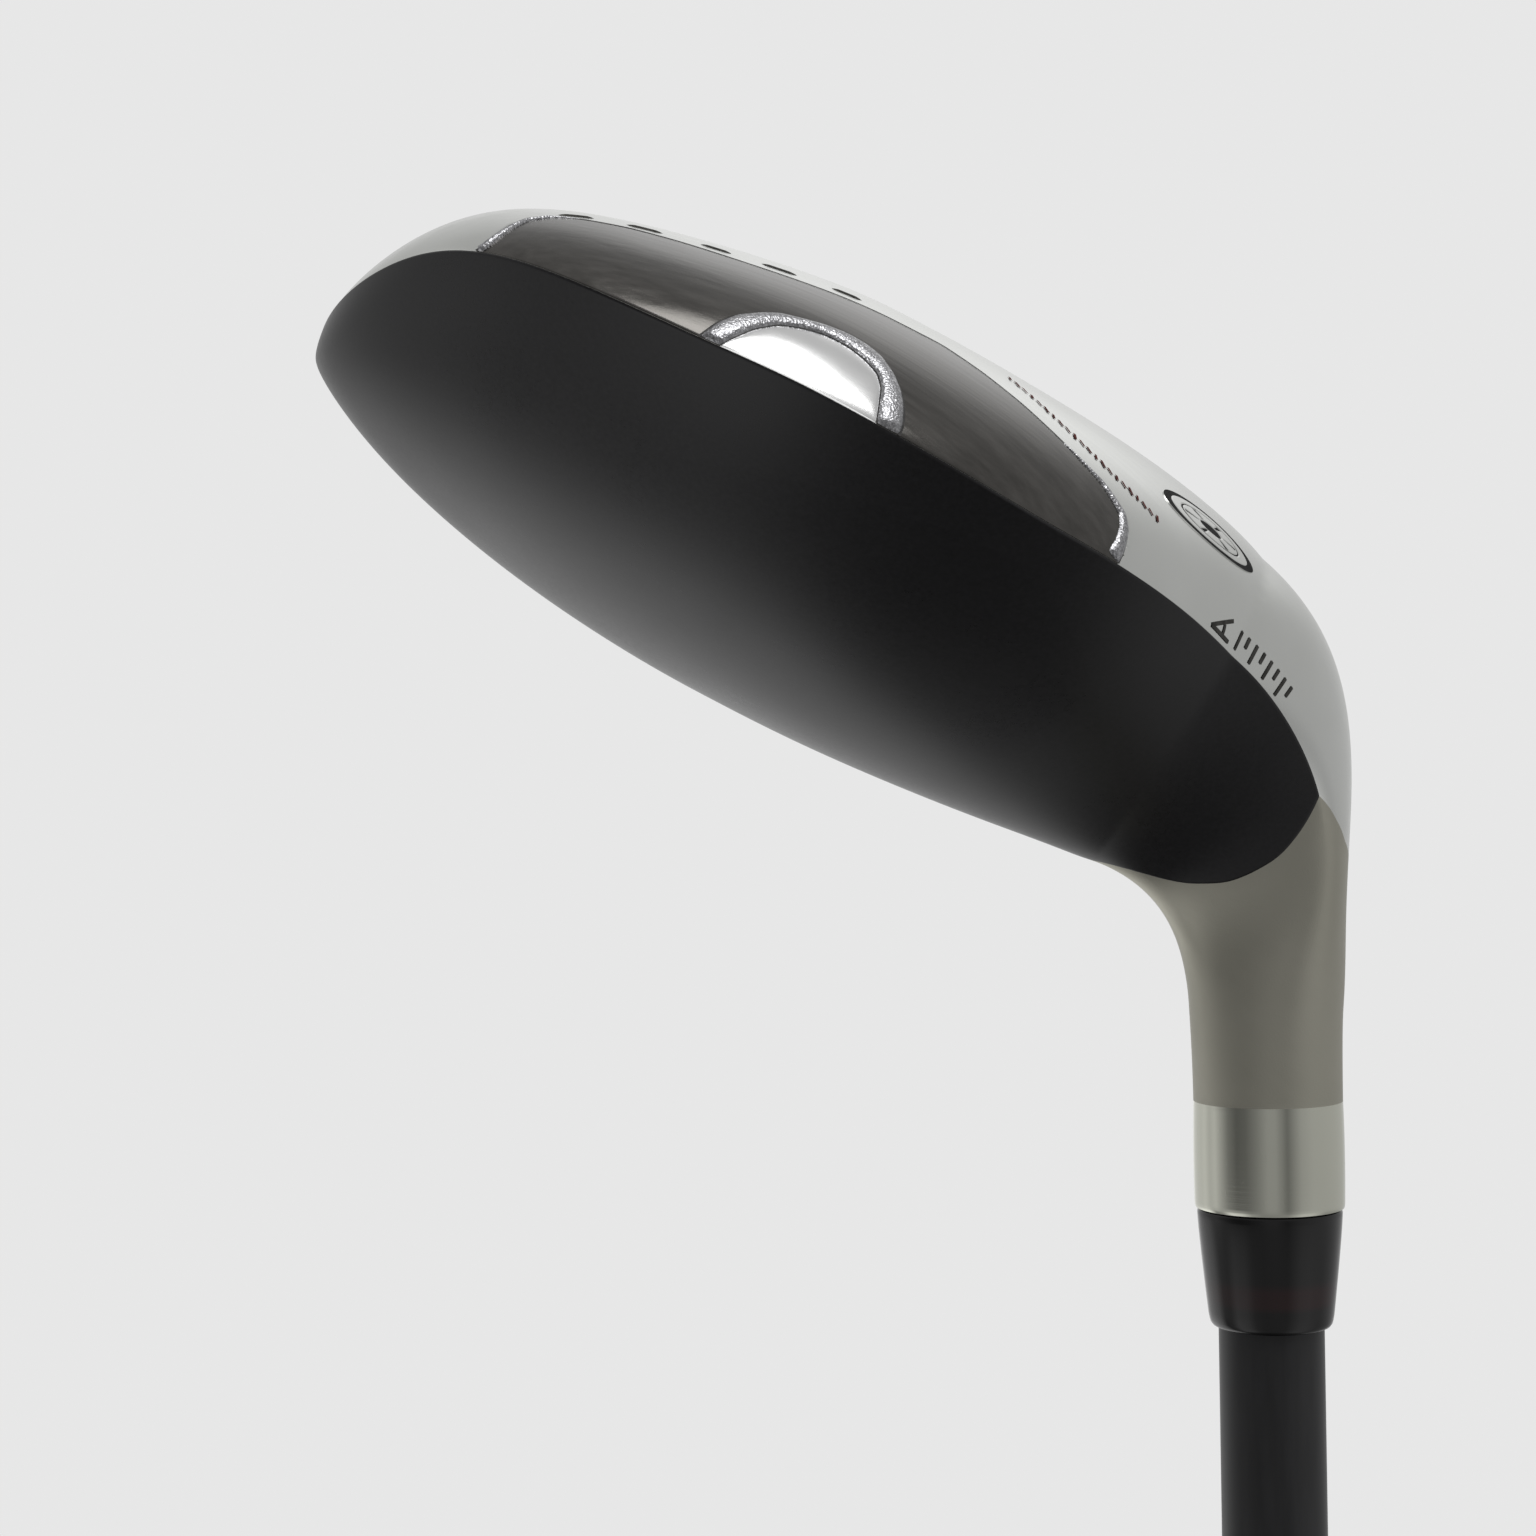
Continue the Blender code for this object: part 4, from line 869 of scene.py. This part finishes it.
# generic bars follow the panel's edge where a maker would put a name
bars = []
gap_q = 0.055
for k, s0 in enumerate((40.4, 45.8, 51.2, 56.8, 62.2)):
    s1 = s0 + (3.1 if k % 2 else 2.7)
    bars.append((s0, s1))
bar_v, bar_f = [], []
for s0, s1 in bars:
    ss_ = np.linspace(s0, s1, 10)
    for row in (0.060,):
        qq_ = panel_top(ss_) + row
        g_ = ribbon(np.stack([ss_, qq_], 1), 0.34, lambda u, t: 0.15 * (1 - abs(u) ** 3) * min(1.0, 6 * t, 6 * (1 - t)) - 0.03, 7)
        bar_f += sheet(g_, base=len(bar_v))
        bar_v += list(g_.reshape(-1, 3))
bar = add_mesh("sole_bars", np.array(bar_v), bar_f, [mark_m.mat], sharp=None)
face_out(bar, (-38, -5, CLUB_TO_HOSEL + 50))

tick_v, tick_f = [], []
for k, s0 in enumerate(np.arange(11.6, 27.4, 0.74)):
    q0 = float(np.interp(s0, [11.2, 16.6, 21.9, 27.1], [1.298, 1.375, 1.475, 1.59]))
    lean = 0.55 if k % 3 else 0.25
    reach = 0.011 if k % 4 else 0.014
    s_ = np.array([s0 - lean / 2, s0, s0 + lean / 2])
    q_ = np.array([q0 - reach, q0, q0 + reach]) + 0.012
    g_ = ribbon(np.stack([s_, q_], 1), 0.24 if k % 2 else 0.29, lambda u, t: 0.06, 3)
    tick_f += sheet(g_, base=len(tick_v))
    tick_v += list(g_.reshape(-1, 3))
tick = add_mesh("sole_red_ticks", np.array(tick_v), tick_f, [red_m.mat], sharp=None)
face_out(tick, (-38, -5, CLUB_TO_HOSEL + 50))


# ---------------------------------------------------------------- face plate ----
def crowded(a, b, n, bias=0.0):
    t_ = np.linspace(0, 1, n)
    t_ = (1 - bias) * t_ + bias * 0.5 * (1 - np.cos(pi * t_))
    return a + (b - a) * t_


def face_outline(grow, n=110):
    a_, b_ = 4.5 - grow, 72.0 + grow
    s_ = crowded(a_, b_, n, 0.8)
    t_ = (s_ - a_) / (b_ - a_)
    lo, hi = low_face(s_) - 0.9 + grow, high_face(s_) + 0.9 - grow
    tau = np.clip((s_ - S_CLOSE) / (S_TOE - S_CLOSE), 0, 1)
    c_ = np.sqrt(1 - tau ** 2)
    lo = TOE_W + (lo - TOE_W) * c_ * (1 + 0.42 * tau ** 4 * (1 - tau ** 6)) * (1 - 0.25 * tau ** 8)
    hi = TOE_W + (hi - TOE_W) * c_ * (1 - 0.2 * tau ** 2 - 0.25 * tau ** 8) * (1 - 0.25 * tau ** 8)
    mid, half = 0.5 * (lo + hi), 0.5 * (lo - hi)
    soft_ = np.minimum(1.0, np.minimum(np.sqrt(np.clip(1 - (1 - np.clip(t_ / 0.09, 0, 1)) ** 2, 0, 1)) * 0.45 + 0.55, np.sqrt(np.clip(1 - (1 - np.clip((1 - t_) / 0.05, 0, 1)) ** 2, 0, 1)) * 0.45 + 0.55))
    lo, hi = mid + half * soft_, mid - half * soft_
    return np.concatenate([s_, s_[::-1]]), np.concatenate([lo, hi[::-1]])


def face_point(s_, w_, out_):
    y_ = Y_LEAD - (W_GROUND - w_) * tan(LOFT)
    x_ = FAN_X + w_ * cos(LIE) - s_ * sin(LIE)
    z_ = FAN_Z + w_ * sin(LIE) + s_ * cos(LIE)
    ny, nw = cos(LOFT), -sin(LOFT)
    p_ = np.stack([x_ + out_ * nw * cos(LIE), y_ + out_ * ny + 0 * x_, z_ + out_ * nw * sin(LIE)], -1)
    return p_ + np.array([0, 0, CLUB_TO_HOSEL])


bm = bmesh.new()
TOP = 0.07


def ring_verts(s_, w_, out_):
    return [bm.verts.new(tuple(p_ / 1000)) for p_ in face_point(np.asarray(s_, float), np.asarray(w_, float), out_)]


def close_ring(vs):
    return [bm.edges.get((vs[i], vs[(i + 1) % len(vs)])) or bm.edges.new((vs[i], vs[(i + 1) % len(vs)])) for i in range(len(vs))]


def wall(lower, upper, index_):
    for i in range(len(lower)):
        j = (i + 1) % len(lower)
        f = bm.faces.new((lower[i], lower[j], upper[j], upper[i]))
        f.material_index = index_


o_s, o_w = face_outline(-0.12)
f_s, f_w = face_outline(0.0)
flat_s, flat_w, flat_v, flat_e = [], [], [], []


def flat_ring(s_, w_, vs):
    base = len(flat_v)
    flat_s.extend(float(x) for x in s_)
    flat_w.extend(float(x) for x in w_)
    flat_v.extend(vs)
    flat_e.extend((base + i, base + (i + 1) % len(vs)) for i in range(len(vs)))


# the outline's two runs share their end points
keep_ = [i for i in range(len(o_s)) if i == 0 or abs(o_s[i] - o_s[i - 1]) + abs(o_w[i] - o_w[i - 1]) > 1e-4]
if abs(o_s[keep_[-1]] - o_s[0]) + abs(o_w[keep_[-1]] - o_w[0]) < 1e-4:
    keep_ = keep_[:-1]
o_s, o_w, f_s, f_w = o_s[keep_], o_w[keep_], f_s[keep_], f_w[keep_]
rim_in = ring_verts(o_s, o_w, TOP)
rim_out = ring_verts(f_s, f_w, -0.12)
flat_ring(o_s, o_w, rim_in)
slots = []
wall(rim_out, rim_in, 0)
for k in range(7):
    w_mid = 41.0 - 3.6 * k
    a_ = np.radians(np.linspace(-90, 90, 9))
    for_end = lambda r: (np.concatenate([57.0 - 0.35 + r * np.cos(a_), 19.0 + 0.35 - r * np.cos(a_)]), np.concatenate([w_mid + r * np.sin(a_), w_mid - r * np.sin(a_)]))
    top_ring = ring_verts(*for_end(0.36), TOP)
    mid_ring = ring_verts(*for_end(0.30), TOP - 0.07)
    low_ring = ring_verts(*for_end(0.17), TOP - 0.33)
    flat_ring(*for_end(0.36), top_ring)
    slots.append(w_mid)
    wall(mid_ring, top_ring, 0)
    wall(low_ring, mid_ring, 1)
    f = bm.faces.new(low_ring)
    f.material_index = 1
n_given = len(flat_v)
# a light grid of inner points keeps the triangles even
for gs in np.arange(8.0, 70.0, 3.1):
    for gw in np.arange(15.0, 46.0, 1.8):
        near_slot = any(abs(gw - w_mid) < 0.9 for w_mid in slots) and 17.5 < gs < 58.5
        inside_ = np.interp(gs, o_s[:len(o_s) // 2], o_w[:len(o_s) // 2]) - 0.8 > gw > np.interp(gs, o_s[len(o_s) // 2:][::-1], o_w[len(o_s) // 2:][::-1]) + 0.8
        if inside_ and not near_slot:
            flat_s.append(float(gs))
            flat_w.append(float(gw))
            flat_v.append(ring_verts([gs], [gw], TOP)[0])
out_v, out_e, out_f, from_v, _, _ = delaunay_2d_cdt([Vector((a, b)) for a, b in zip(flat_s, flat_w)], flat_e, [], 1, 1e-6, True)
for tri in out_f:
    ids = [from_v[i][0] for i in tri]
    cs, cw = float(np.mean([flat_s[i] for i in ids])), float(np.mean([flat_w[i] for i in ids]))
    in_slot = any(abs(cw - w_mid) < 0.36 for w_mid in slots) and 18.9 < cs < 57.1 and all(len(flat_v) > i >= len(rim_in) and i < n_given for i in ids)
    if not in_slot:
        bm.faces.new([flat_v[i] for i in ids])
mesh = bpy.data.meshes.new("face_plate_visual")
bmesh.ops.recalc_face_normals(bm, faces=bm.faces)
bm.to_mesh(mesh)
bm.free()
mesh.materials.append(face_m.mat)
mesh.materials.append(groove_m.mat)
face_vis = bpy.data.objects.new("face_plate_visual", mesh)
bpy.context.scene.collection.objects.link(face_vis)
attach(face_vis, "root")
face_out(face_vis, (-38, -18, CLUB_TO_HOSEL + 55))
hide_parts("face_plate")


# ---------------------------------------------------------------- shaft, ferrule, grip ----
def turned(name, profile, mats, count=96, slot_name=None, closed=True, index_of=None, sharp=40):
    """Lathed piece about Z from (r, z) points in mm."""
    a_ = np.linspace(0, 2 * pi, count + 1)[:-1]
    g_ = np.array([[(r * cos(t_), r * sin(t_), z_) for t_ in a_] for r, z_ in profile])
    if closed:
        g_ = np.concatenate([g_, g_[:1]])
    o_ = add_mesh(name, g_.reshape(-1, 3), sheet(g_, wrap=True), mats, index_of, sharp=sharp)
    bm_ = bmesh.new()
    bm_.from_mesh(o_.data)
    bmesh.ops.recalc_face_normals(bm_, faces=bm_.faces)
    bm_.to_mesh(o_.data)
    bm_.free()
    return o_


def shaft_r(z_):
    t_ = min(max((z_ - 230.0) / (820.0 - 230.0), 0.0), 1.0)
    start = 7.6 - 0.35 * min(z_, 230.0) / 230.0
    return start + (4.7 - start) * t_


def shaft_in_r(z_):
    t_ = min(max((z_ - 230.0) / (820.0 - 230.0), 0.0), 1.0)
    return 6.6 + (2.9 - 6.6) * t_


steps = [5.0, 5.25] + list(np.linspace(20, 984.5, 90)) + [985.0]
prof = [(shaft_r(z_) - (0.25 if z_ in (5.0, 985.0) else 0), z_) for z_ in steps] + [(shaft_in_r(z_), z_) for z_ in reversed(steps)]
shaft = turned("shaft_visual", prof, [shaft_m.mat], 96, "shaft")
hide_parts("shaft")

zt = CLUB_TO_HOSEL
fer = [(4.78, -0.12), (6.1, -0.12), (6.36, -0.2), (6.45, -0.42)]
for z_ in np.linspace(0.8, 9.6, 26):
    t_ = (z_ - 0.5) / 9.2
    fer.append((6.45 - 0.88 * t_ ** 1.35 - 0.04 * sin(pi * t_), -z_))
fer += [(5.50, -10.05), (5.42, -10.35), (5.26, -10.58), (5.05, -10.68), (4.85, -10.68), (4.78, -10.6)]
ferrule = turned("ferrule_visual", [(r, zt + z_) for r, z_ in fer], [ferrule_m.mat], 120, "ferrule", sharp=50)
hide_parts("ferrule")

# moulded rubber grip: fine hatch in panels between smooth bands, raised rings at the ends
GRIP_LEN = 267.0


def grip_r(z_):
    return 8.4 + (13.3 - 8.4) * (1 - z_ / GRIP_LEN) ** 1.15


zs = np.concatenate([[3.65, 3.7, 3.9, 4.3], np.arange(4.8, GRIP_LEN - 1.2, 0.62), [GRIP_LEN - 0.8, GRIP_LEN - 0.35, GRIP_LEN - 0.1, GRIP_LEN]])
na = 160
th = np.linspace(0, 2 * pi, na + 1)[:-1]
Zg, Tg = np.meshgrid(zs, th, indexing="ij")
Rg = np.vectorize(grip_r)(np.minimum(Zg, GRIP_LEN))
bandmask = np.zeros_like(Zg)
for z0, z1 in ((22, 88), (100, 166), (178, 244)):
    bandmask = np.maximum(bandmask, np.clip((Zg - z0) / 1.0, 0, 1) * np.clip((z1 - Zg) / 1.0, 0, 1))
pitch = 2 * pi / 16
u = Tg / pitch
v = Zg / 5.2
g1 = np.abs(((u + v) % 1.0) - 0.5) * 2
g2 = np.abs(((u - v) % 1.0) - 0.5) * 2
hatch = np.maximum(np.clip((g1 - 0.76) / 0.16, 0, 1), np.clip((g2 - 0.76) / 0.16, 0, 1))
rings_ = np.zeros_like(Zg)
for z0 in (10.0, 14.0, 94.0, 172.0, 250.0, 255.0, 260.0):
    rings_ = np.maximum(rings_, np.exp(-((Zg - z0) / 0.8) ** 2))
Rg = Rg - 0.34 * hatch * bandmask - 0.42 * rings_
Rg = Rg - 0.7 * np.clip((Zg - (GRIP_LEN - 1.2)) / 1.2, 0, 1) ** 2 - 0.35 * np.clip((4.6 - Zg) / 1.0, 0, 1) ** 2
outer_g = np.stack([Rg * np.cos(Tg), Rg * np.sin(Tg), Zg], -1)
inner_g = []
for z_ in (GRIP_LEN, 200.0, 120.0, 60.0, 3.65):
    r_ = shaft_r(z_) + 0.5
    inner_g.append(np.stack([r_ * np.cos(th), r_ * np.sin(th), 0 * th + z_], -1))
g = np.concatenate([outer_g, np.array(inner_g), outer_g[:1]])
grip = add_mesh("grip_visual", g.reshape(-1, 3), sheet(g, wrap=True), [rubber_m.mat], sharp=60)
bm = bmesh.new()
bm.from_mesh(grip.data)
bmesh.ops.recalc_face_normals(bm, faces=bm.faces)
bm.to_mesh(grip.data)
bm.free()
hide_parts("grip")

cap_prof = [(1.6, 0.35), (1.75, 0.08), (2.1, 0.0), (3.6, 0.0), (3.75, 0.22), (4.35, 0.22), (4.5, 0.0), (8.2, 0.0), (8.35, 0.22), (8.95, 0.22), (9.1, 0.0), (10.8, 0.0), (11.7, 0.16), (12.45, 0.5), (12.95, 1.05), (13.2, 1.75), (13.3, 2.6), (13.3, 3.3), (13.2, 3.4), (9.0, 3.4), (9.0, 2.8), (1.6, 2.8)]
cap = turned("grip_cap_visual", cap_prof, [cap_m.mat], 128, "grip_cap", sharp=40)
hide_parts("grip_cap")

# hidden pieces keep their CAD shape and get a worked finish
weight_m = steel("tip_weight_brass", (0.62, 0.44, 0.18), (0.70, 0.52, 0.24), 0.25, 0.4, 0.1, turned=True)
tape_m = Mat("tape_paper")
tp = tape_m.noise(tape_m.coord, 900, 4, 0.6)
tape_m.colour(tape_m.blend(tape_m.ramp(tp, 0.35, 0.65), (0.52, 0.46, 0.33), (0.62, 0.56, 0.42)))
tape_m.rough(tape_m.ramp(tp, 0.3, 0.7, 0.7, 0.85))
tape_m.bump(tp, 0.3, 0.00005)
for node, mat in (("tip_weight", weight_m.mat), ("grip_tape", tape_m.mat)):
    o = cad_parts[node]
    o.data.materials.clear()
    o.data.materials.append(mat)

# ---------------------------------------------------------------- studio ----
floor_m = bpy.data.materials.new("studio_floor")
floor_m.use_nodes = True
ft = floor_m.node_tree
fp = ft.nodes["Principled BSDF"]
fc = ft.nodes.new("ShaderNodeTexCoord")
fn_ = ft.nodes.new("ShaderNodeTexNoise")
fn_.inputs["Scale"].default_value = 6
ft.links.new(fc.outputs["Object"], fn_.inputs["Vector"])
fr = ft.nodes.new("ShaderNodeMapRange")
fr.inputs["To Min"].default_value = 0.75
fr.inputs["To Max"].default_value = 0.9
ft.links.new(fn_.outputs["Fac"], fr.inputs["Value"])
ft.links.new(fr.outputs["Result"], fp.inputs["Roughness"])
fmix = ft.nodes.new("ShaderNodeMix")
fmix.data_type = "RGBA"
fmix.inputs[6].default_value = (0.78, 0.78, 0.775, 1)
fmix.inputs[7].default_value = (0.82, 0.82, 0.815, 1)
ft.links.new(fn_.outputs["Fac"], fmix.inputs[0])
ft.links.new(fmix.outputs[2], fp.inputs["Base Color"])
fp.inputs["Emission Color"].default_value = (0.8, 0.8, 0.795, 1)
fp.inputs["Emission Strength"].default_value = 0.26
a_ = np.linspace(0, 2 * pi, 97)[:-1]
fv = [(0.0, 0.0, 0.0)] + [(r * cos(t_), r * sin(t_), -0.0006) for r in (0.8, 1.6, 2.4, 3.2) for t_ in a_]
ff = [(0, 1 + j, 1 + (j + 1) % 96) for j in range(96)]
for i in range(3):
    ff += [(1 + 96 * i + j, 1 + 96 * (i + 1) + j, 1 + 96 * (i + 1) + (j + 1) % 96, 1 + 96 * i + (j + 1) % 96) for j in range(96)]
fm = bpy.data.meshes.new("floor")
fm.from_pydata(fv, [], ff)
fm.materials.append(floor_m)
fm.polygons.foreach_set("use_smooth", [True] * len(fm.polygons))
floor = bpy.data.objects.new("floor", fm)
bpy.context.scene.collection.objects.link(floor)
floor.visible_glossy = False
floor.visible_diffuse = False

world = bpy.data.worlds.new("studio")
bpy.context.scene.world = world
world.use_nodes = True
wt = world.node_tree
wt.nodes.clear()
w_out = wt.nodes.new("ShaderNodeOutputWorld")
bg_cam = wt.nodes.new("ShaderNodeBackground")
bg_cam.inputs["Color"].default_value = (0.80, 0.80, 0.80, 1)
bg_env = wt.nodes.new("ShaderNodeBackground")
lp = wt.nodes.new("ShaderNodeLightPath")
mix = wt.nodes.new("ShaderNodeMixShader")
wt.links.new(lp.outputs["Is Camera Ray"], mix.inputs[0])
wt.links.new(bg_env.outputs[0], mix.inputs[1])
wt.links.new(bg_cam.outputs[0], mix.inputs[2])
wt.links.new(mix.outputs[0], w_out.inputs["Surface"])
wc = wt.nodes.new("ShaderNodeTexCoord")
ws = wt.nodes.new("ShaderNodeSeparateXYZ")
wt.links.new(wc.outputs["Generated"], ws.inputs[0])


def env_range(sock, lo, hi, a_, b_):
    n_ = wt.nodes.new("ShaderNodeMapRange")
    n_.interpolation_type = "SMOOTHSTEP"
    n_.inputs["From Min"].default_value = lo
    n_.inputs["From Max"].default_value = hi
    n_.inputs["To Min"].default_value = a_
    n_.inputs["To Max"].default_value = b_
    wt.links.new(sock, n_.inputs["Value"])
    return n_.outputs["Result"]


def env_math(op, a_, b_):
    n_ = wt.nodes.new("ShaderNodeMath")
    n_.operation = op
    for i_, v_ in enumerate((a_, b_)):
        if hasattr(v_, "is_linked"):
            wt.links.new(v_, n_.inputs[i_])
        else:
            n_.inputs[i_].default_value = v_
    return n_.outputs[0]


EX, EY, EZ = ws.outputs["X"], ws.outputs["Y"], ws.outputs["Z"]
# turn about the club (0 is the camera's side, 0.5 turns each way to the backdrop) and height in degrees / 90
turn_at = env_math("ADD", env_math("MULTIPLY", env_math("ARCTAN2", EX, env_math("MULTIPLY", EY, -1.0)), 1 / (2 * pi)), 0.5)
height_at = env_math("MULTIPLY", env_math("ARCSINE", EZ, 0.0), 2 / pi)


def env_ring(stops):
    """Brightness round the club from (degrees, value) stops."""
    n_ = wt.nodes.new("ShaderNodeValToRGB")
    wt.links.new(turn_at, n_.inputs["Fac"])
    e0, e1 = n_.color_ramp.elements
    e0.position, e0.color = 0.0, (stops[0][1],) * 3 + (1,)
    e1.position, e1.color = 1.0, (stops[-1][1],) * 3 + (1,)
    for deg, val in stops[1:-1]:
        e_ = n_.color_ramp.elements.new((deg + 180) / 360)
        e_.color = (val, val, val, 1)
    return n_.outputs["Color"]


def env_mix(lo, hi, a_, b_):
    """Goes from a to b as the height rises from lo to hi degrees."""
    n_ = wt.nodes.new("ShaderNodeMix")
    n_.data_type = "RGBA"
    wt.links.new(env_range(height_at, lo / 90, hi / 90, 0.0, 1.0), n_.inputs[0])
    for sock, v_ in ((n_.inputs[6], a_), (n_.inputs[7], b_)):
        if hasattr(v_, "is_linked"):
            wt.links.new(v_, sock)
        else:
            sock.default_value = (v_, v_, v_, 1)
    return n_.outputs[2]


DOWN = [(-180, .85), (-160, .92), (-140, 1.15), (-120, .95), (-105, .20), (-90, .30), (-75, .75), (-55, .62), (-40, .32), (-22, .24), (20, .26), (45, .55), (62, .55), (90, .30), (120, .30), (145, .42), (165, .75), (180, .85)]
LEVEL = [(-180, .90), (-165, .66), (-150, .56), (-135, .50), (-120, .46), (-105, .46), (-90, .30), (-75, .16), (-60, .10), (-45, .12), (-28, .20), (-12, .30), (0, .30), (10, .22), (18, .15), (28, .24), (40, .34), (60, .40), (110, .43), (135, .46), (150, .52), (165, .64), (180, .90)]
LOW = [(-180, .90), (-165, .66), (-150, .56), (-135, .54), (-125, .58), (-112, .46), (-100, .52), (-84, .30), (-75, .18), (-60, .10), (-45, .12), (-28, .20), (-12, .30), (0, .30), (10, .22), (18, .15), (28, .24), (40, .34), (60, .40), (110, .43), (135, .46), (150, .52), (165, .64), (180, .90)]
MID = [(-180, .75), (-168, .56), (-150, .50), (-132, .50), (-116, .75), (-98, .85), (-82, .45), (-60, .30), (0, .34), (60, .42), (112, .42), (126, .50), (135, .62), (147, .88), (160, 1.0), (173, .92), (180, .75)]
env = env_mix(-72, -52, 0.10, env_ring(DOWN))
env = env_mix(-27, -9, env, env_ring(LOW))
env = env_mix(-5, -1, env, env_ring(LEVEL))
env = env_mix(12, 30, env, env_ring(MID))
env = env_mix(39, 50, env, 0.45)
wt.links.new(env, bg_env.inputs["Color"])
bg_env.inputs["Strength"].default_value = 1.0


def softbox(name, at, to, size, size_y, power, colour=(1, 1, 1), spread=pi):
    l = bpy.data.lights.new(name, "AREA")
    l.shape = "RECTANGLE"
    l.size, l.size_y = size, size_y
    l.energy = power
    l.color = colour
    l.spread = spread
    o_ = bpy.data.objects.new(name, l)
    o_.location = at
    o_.rotation_euler = (Vector(to) - Vector(at)).to_track_quat("-Z", "Y").to_euler()
    o_.visible_camera = False
    bpy.context.scene.collection.objects.link(o_)
    return o_


HEAD = (-0.035, -0.015, 1.0)
softbox("lamp_top", (0.290, -0.437, 2.13), HEAD, 0.87, 0.90, 8.7)

cam_data = bpy.data.cameras.new("camera")
cam_data.sensor_width = 36
cam_data.lens = 36 * 2700 / 1536
cam_data.clip_start = 0.01
camera = bpy.data.objects.new("camera", cam_data)
camera.location = (-0.0445, -0.243, 0.9951)
camera.rotation_euler = (radians(90), 0, 0)
camera.rotation_mode = "XYZ"
ROLL = radians(-0.92)
camera.rotation_euler = (Matrix.Rotation(radians(90), 4, "X") @ Matrix.Rotation(ROLL, 4, "Z")).to_euler()
bpy.context.scene.collection.objects.link(camera)
bpy.context.scene.camera = camera
bpy.context.scene.view_settings.view_transform = "Standard"
bpy.context.scene.view_settings.look = "None"
